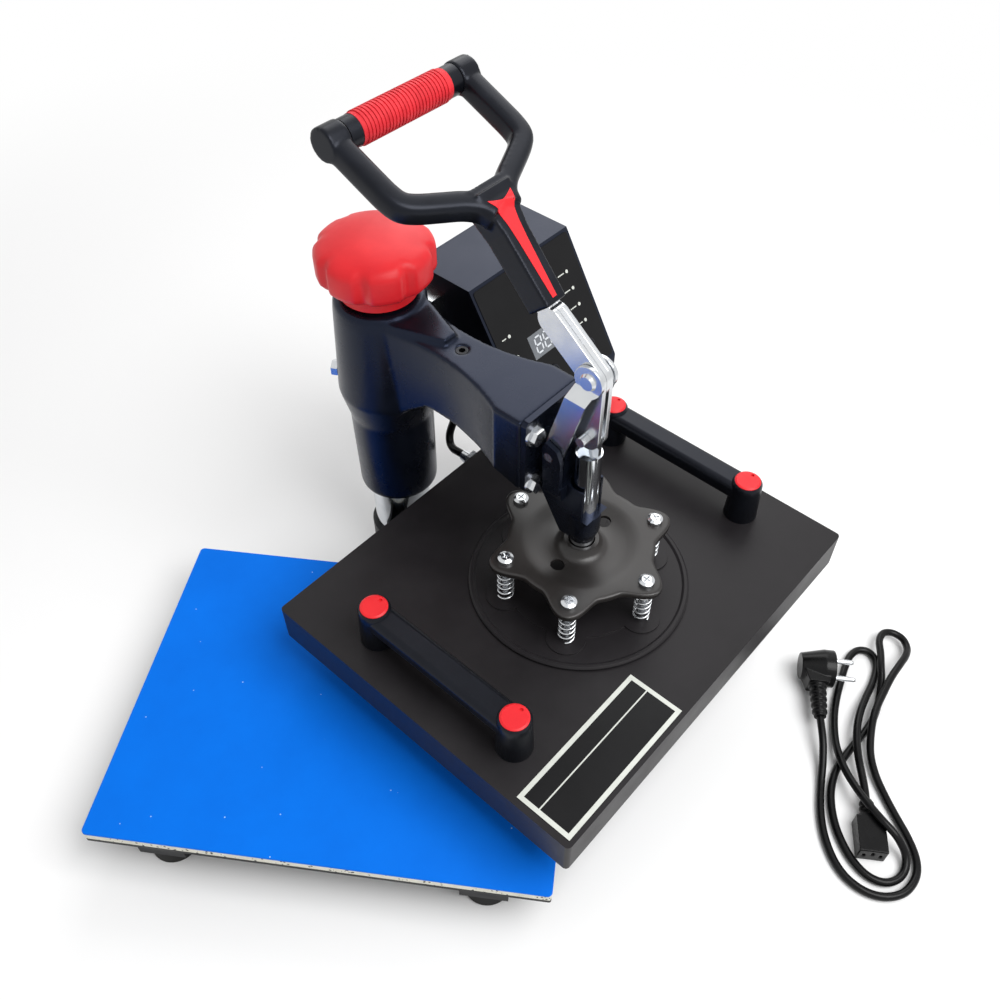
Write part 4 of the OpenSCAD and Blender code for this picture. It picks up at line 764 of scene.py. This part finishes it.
# pad: a silicone sheet on a foam sheet, both cut with round corners
padLook = {
    "siliconePad": dict(node="silicone_pad", size=(380, 296, 3), top=0, corner=4, rim=0.7),
    "foamSheet": dict(node="foam_sheet", size=(379, 295, 8), top=-3, corner=2, rim=0.4),
}
padEdge = {"cornerSteps": 8, "rimSteps": 3, "sharp": 50, "smooth": 40}
for name, look in padLook.items():
    deselect()
    w, d, t = (v * mm for v in look["size"])
    bpy.ops.mesh.primitive_cube_add(size=1, location=(0, 0, look["top"] * mm - t / 2), scale=(w, d, t))
    pad = settle(bpy.context.object)
    pad.name = name
    bpy.ops.object.mode_set(mode="EDIT")
    bpy.ops.mesh.select_all(action="DESELECT")
    bpy.ops.mesh.select_mode(type="EDGE")
    bpy.ops.object.mode_set(mode="OBJECT")
    for edge in pad.data.edges:
        a, b = (pad.data.vertices[v].co for v in edge.vertices)
        edge.select = abs(a.z - b.z) > t / 2
    bpy.ops.object.mode_set(mode="EDIT")
    bpy.ops.mesh.bevel(offset=look["corner"] * mm, segments=padEdge["cornerSteps"], affect="EDGES")
    modify(pad, "BEVEL", width=look["rim"] * mm, segments=padEdge["rimSteps"], limit_method="ANGLE",
           angle_limit=math.radians(padEdge["sharp"]))
    smoothBy(pad, padEdge["smooth"])
    replaceNode(pad, look["node"])
print("pad laid")

# springs: round wire, each seated between the disc and the six-armed plate
springLook = {
    "count": 6, "first": 30, "ring": 66.3, "low": 85.1, "high": 125.9, "wire": 1.8, "mid": 6.4,
    "curls": 6, "steps": 28, "sides": 3,
}


def springPoints(look):
    rise = look["high"] - look["low"] - look["wire"]
    out = []
    for i in range(look["curls"] * look["steps"] + 1):
        t = i / look["steps"]
        angle = 2 * math.pi * t
        out.append(Vector((look["mid"] * math.cos(angle), look["mid"] * math.sin(angle),
                           look["low"] + look["wire"] / 2 + rise * t / look["curls"])))
    return out


for i in range(springLook["count"]):
    angle = math.radians(springLook["first"] + 360 / springLook["count"] * i)
    spot = Matrix.Rotation(angle, 4, "Z") @ Matrix.Translation((springLook["ring"], 0, 0))
    coilPoints = [armTurn @ ((spot @ p) * mm) for p in springPoints(springLook)]
    coilCurve = cordCurve("pressureSpring%d" % i, coilPoints, springLook["wire"] * mm, springLook["sides"])
    coil = meshOf(coilCurve, surfaces["brightZinc"])
    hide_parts("coil_springs")
    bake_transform(coil)
print("springs wound")

# control panel: seven-segment digits, lamps with dashes, and a plain mark on each key
panelLook = {"middle": (116, 138, 215), "tilt": math.degrees(math.atan2(110, 66)), "slot": "display_film"}
panelPlace = turned(panelLook["middle"], panelLook["tilt"])


def panelSlab(name, outline, low, high, material, body="arm"):
    piece = slab(name, outline, low, high)
    piece.data.transform(panelPlace)
    return finishPiece(piece, material, body)


digitLook = {
    "high": 14, "wide": 7.4, "bar": 1.5, "point": 0.8, "lean": 0.12, "spots": (-17, -6, 6, 17), "row": -10,
    "low": 0.75, "top": 0.95, "shown": "abcdefg",
}


def segmentOutline(letter, look):
    h, w, b = look["high"] / 2, look["wide"] / 2, look["bar"] / 2
    middle = {"a": (0, h), "g": (0, 0), "d": (0, -h), "b": (w, h / 2), "c": (w, -h / 2), "e": (-w, -h / 2),
              "f": (-w, h / 2)}
    x, y = middle[letter]
    if letter in "agd":
        shape = [(-w + b, 0), (-w + 2 * b, b), (w - 2 * b, b), (w - b, 0), (w - 2 * b, -b), (-w + 2 * b, -b)]
    else:
        end, neck = h / 2 - b * look["point"], h / 2 - 2 * b
        shape = [(0, end), (b, neck), (b, -neck), (0, -end), (-b, -neck), (-b, neck)]
    return [(x + p + look["lean"] * (y + q), y + q) for p, q in shape]


for i, spot in enumerate(digitLook["spots"]):
    for letter in digitLook["shown"]:
        outline = [(x + spot, y + digitLook["row"]) for x, y in segmentOutline(letter, digitLook)]
        panelSlab("digit%d%s" % (i, letter), outline, digitLook["low"], digitLook["top"], segmentGlow)


def ringPoints(x, y, radius, count):
    angles = [2 * math.pi * k / count for k in range(count)]
    return [(x + radius * math.cos(a), y + radius * math.sin(a)) for a in angles]


lampLook = {
    "rows": {"left": (-44, -9, (12, -8, -26)), "right": (44, -12, (30, 14, -2, -18))},
    "radius": 1.6, "sides": 16, "low": 0.5, "top": 0.9, "dashEnd": -4, "dashHalf": 0.5, "dashTop": 0.7,
}
for side, (x, dashStart, rows) in lampLook["rows"].items():
    x0, x1, half = x + dashStart, x + lampLook["dashEnd"], lampLook["dashHalf"]
    for k, y in enumerate(rows):
        disc = ringPoints(x, y, lampLook["radius"], lampLook["sides"])
        panelSlab("lamp_%s%d" % (side, k), disc, lampLook["low"], lampLook["top"], surfaces["printWhite"])
        dash = [(x0, y - half), (x1, y - half), (x1, y + half), (x0, y + half)]
        panelSlab("dash_%s%d" % (side, k), dash, lampLook["low"], lampLook["dashTop"], surfaces["printWhite"])

# key marks: a ring, two arrows and a square, a touch proud of the keys
keyLook = {
    "row": -40, "step": 25, "low": 1.95, "top": 2.15, "ring": 2.2, "ringSides": 20,
    "arrow": [(-2.6, -1.4), (2.6, -1.4), (0, 2.6)], "square": [(-2, -2), (2, -2), (2, 2), (-2, 2)],
}
keyMarks = {
    "mode_key": (-1.5, ringPoints(0, 0, keyLook["ring"], keyLook["ringSides"])),
    "down_key": (-0.5, [(keyLook["arrow"][k][0], -keyLook["arrow"][k][1]) for k in (0, 2, 1)]),
    "up_key": (0.5, keyLook["arrow"]),
    "set_key": (1.5, keyLook["square"]),
}
for body, (place, shape) in keyMarks.items():
    outline = [(place * keyLook["step"] + x, keyLook["row"] + y) for x, y in shape]
    panelSlab("mark_" + body, outline, keyLook["low"], keyLook["top"], surfaces["printWhite"], body)
print("panel printed")

# bare plate on the platen's cover, with a white border and one plain dividing line
plateLook = {
    "low": (-188, -143), "high": (-48, -92.5), "seat": 81, "thick": 0.3, "margin": 0.3, "line": 3.8,
    "divide": -111.5, "divideWide": 1.1, "up": 0.9,
}


def coverPlate(look):
    (x0, y0), (x1, y1) = look["low"], look["high"]
    middle = ((x0 + x1) / 2 * mm, (y0 + y1) / 2 * mm, (look["seat"] + look["thick"] / 2) * mm)
    deselect()
    bpy.ops.mesh.primitive_cube_add(size=1, location=middle,
                                    scale=((x1 - x0) * mm, (y1 - y0) * mm, look["thick"] * mm))
    plate = settle(bpy.context.object)
    plate.name = "barePlate"
    finishPiece(plate, surfaces["panelFilmBlack"], "platen")
    plate.data.materials.append(surfaces["printWhite"])
    bpy.ops.object.mode_set(mode="EDIT")
    bpy.ops.mesh.select_mode(type="FACE")
    bpy.ops.mesh.select_all(action="DESELECT")
    bpy.ops.object.mode_set(mode="OBJECT")
    for face in plate.data.polygons:
        face.select = face.normal.z > look["up"]
    bpy.ops.object.mode_set(mode="EDIT")
    for inset, index in ((look["margin"], 1), (look["line"], 0)):
        bpy.ops.mesh.inset(thickness=inset * mm, depth=0)
        plate.active_material_index = index
        bpy.ops.object.material_slot_assign()
    bpy.ops.object.mode_set(mode="OBJECT")
    edge = look["margin"] + look["line"]

    def inside(face):
        x, y = face.center.x / mm, face.center.y / mm
        return face.normal.z > look["up"] and x0 + edge < x < x1 - edge and y0 + edge < y < y1 - edge

    for side in (-0.5, 0.5):
        for face in plate.data.polygons:
            face.select = inside(face)
        bpy.ops.object.mode_set(mode="EDIT")
        cut = (look["divide"] + side * look["divideWide"]) * mm
        bpy.ops.mesh.bisect(plane_co=(0, cut, 0), plane_no=(0, 1, 0))
        bpy.ops.mesh.select_all(action="DESELECT")
        bpy.ops.object.mode_set(mode="OBJECT")
    for face in plate.data.polygons:
        if inside(face) and abs(face.center.y / mm - look["divide"]) < look["divideWide"] / 2:
            face.material_index = 1
    plate.data.transform(armTurn)
    return plate


coverPlate(plateLook)
print("plate laid")

# floor, light and background, in metres: the floor fades to the background's white away from the press
stageLook = {
    "floor": "#f4f4f4", "size": 12, "under": 0.0002, "rough": 0.9, "specular": 0.1, "near": 0.6, "far": 1.5,
    "world": "#ffffff", "fill": 0.55,
    "lights": {
        "keyLight": dict(place=(0.9, -0.3, 1.5), aim=(0.05, 0.05, 0.1), power=26, size=1.1),
        "backLight": dict(place=(0.2, 1.5, 1.3), aim=(0.05, 0.1, 0.15), power=10, size=1.2),
    },
}


# 1 where the camera, a mirror or glass looks at the background, 0 where it lights the press
def lookedAt(tree):
    path = addNode(tree, "ShaderNodeLightPath")
    seen = path.outputs["Is Camera Ray"]
    for ray in ("Is Glossy Ray", "Is Transmission Ray"):
        either = addNode(tree, "ShaderNodeMath", {"operation": "MAXIMUM"}, {0: seen, 1: path.outputs[ray]})
        seen = either.outputs["Value"]
    return seen


deselect()
bpy.ops.mesh.primitive_plane_add(size=stageLook["size"], location=(0, 0, tableTop - stageLook["under"]))
floor = bpy.context.object
floor.name = "studioFloor"
paper = bpy.data.materials.new("studioPaper")
paper.use_nodes = True
tree = paper.node_tree
shader = tree.nodes["Principled BSDF"]
shader.inputs["Base Color"].default_value = linear(stageLook["floor"])
shader.inputs["Roughness"].default_value = stageLook["rough"]
shader.inputs["Specular IOR Level"].default_value = stageLook["specular"]
seen = lookedAt(tree)
where = addNode(tree, "ShaderNodeTexCoord")
away = addNode(tree, "ShaderNodeVectorMath", {"operation": "LENGTH"}, {0: where.outputs["Object"]})
fade = addNode(tree, "ShaderNodeMapRange",
               {"interpolation_type": "SMOOTHSTEP",
                "From Min": stageLook["near"], "From Max": stageLook["far"]},
               {"Value": away.outputs["Value"]})
share = addNode(tree, "ShaderNodeMath", {"operation": "MULTIPLY"}, {0: fade.outputs["Result"], 1: seen})
glow = addNode(tree, "ShaderNodeEmission", {"Color": linear(stageLook["world"]), "Strength": 1.0})
mixed = addNode(tree, "ShaderNodeMixShader", None,
                {0: share.outputs["Value"], 1: shader.outputs["BSDF"], 2: glow.outputs["Emission"]})
tree.links.new(mixed.outputs["Shader"], tree.nodes["Material Output"].inputs["Surface"])
floor.data.materials.append(paper)

world = bpy.data.worlds.new("studioWorld")
scene.world = world
world.use_nodes = True
tree = world.node_tree
background = tree.nodes["Background"]
background.inputs["Color"].default_value = linear(stageLook["world"])
strength = addNode(tree, "ShaderNodeMapRange",
                   {"From Min": 0.0, "From Max": 1.0, "To Min": stageLook["fill"], "To Max": 1.0},
                   {"Value": lookedAt(tree)})
tree.links.new(strength.outputs["Result"], background.inputs["Strength"])

for name, look in stageLook["lights"].items():
    bpy.ops.object.light_add(type="AREA", location=look["place"])
    lamp = bpy.context.object
    lamp.name = name
    lamp.data.energy = look["power"]
    lamp.data.size = look["size"]
    toward = Vector(look["aim"]) - Vector(look["place"])
    lamp.rotation_euler = toward.to_track_quat("-Z", "Y").to_euler()
print("stage lit")
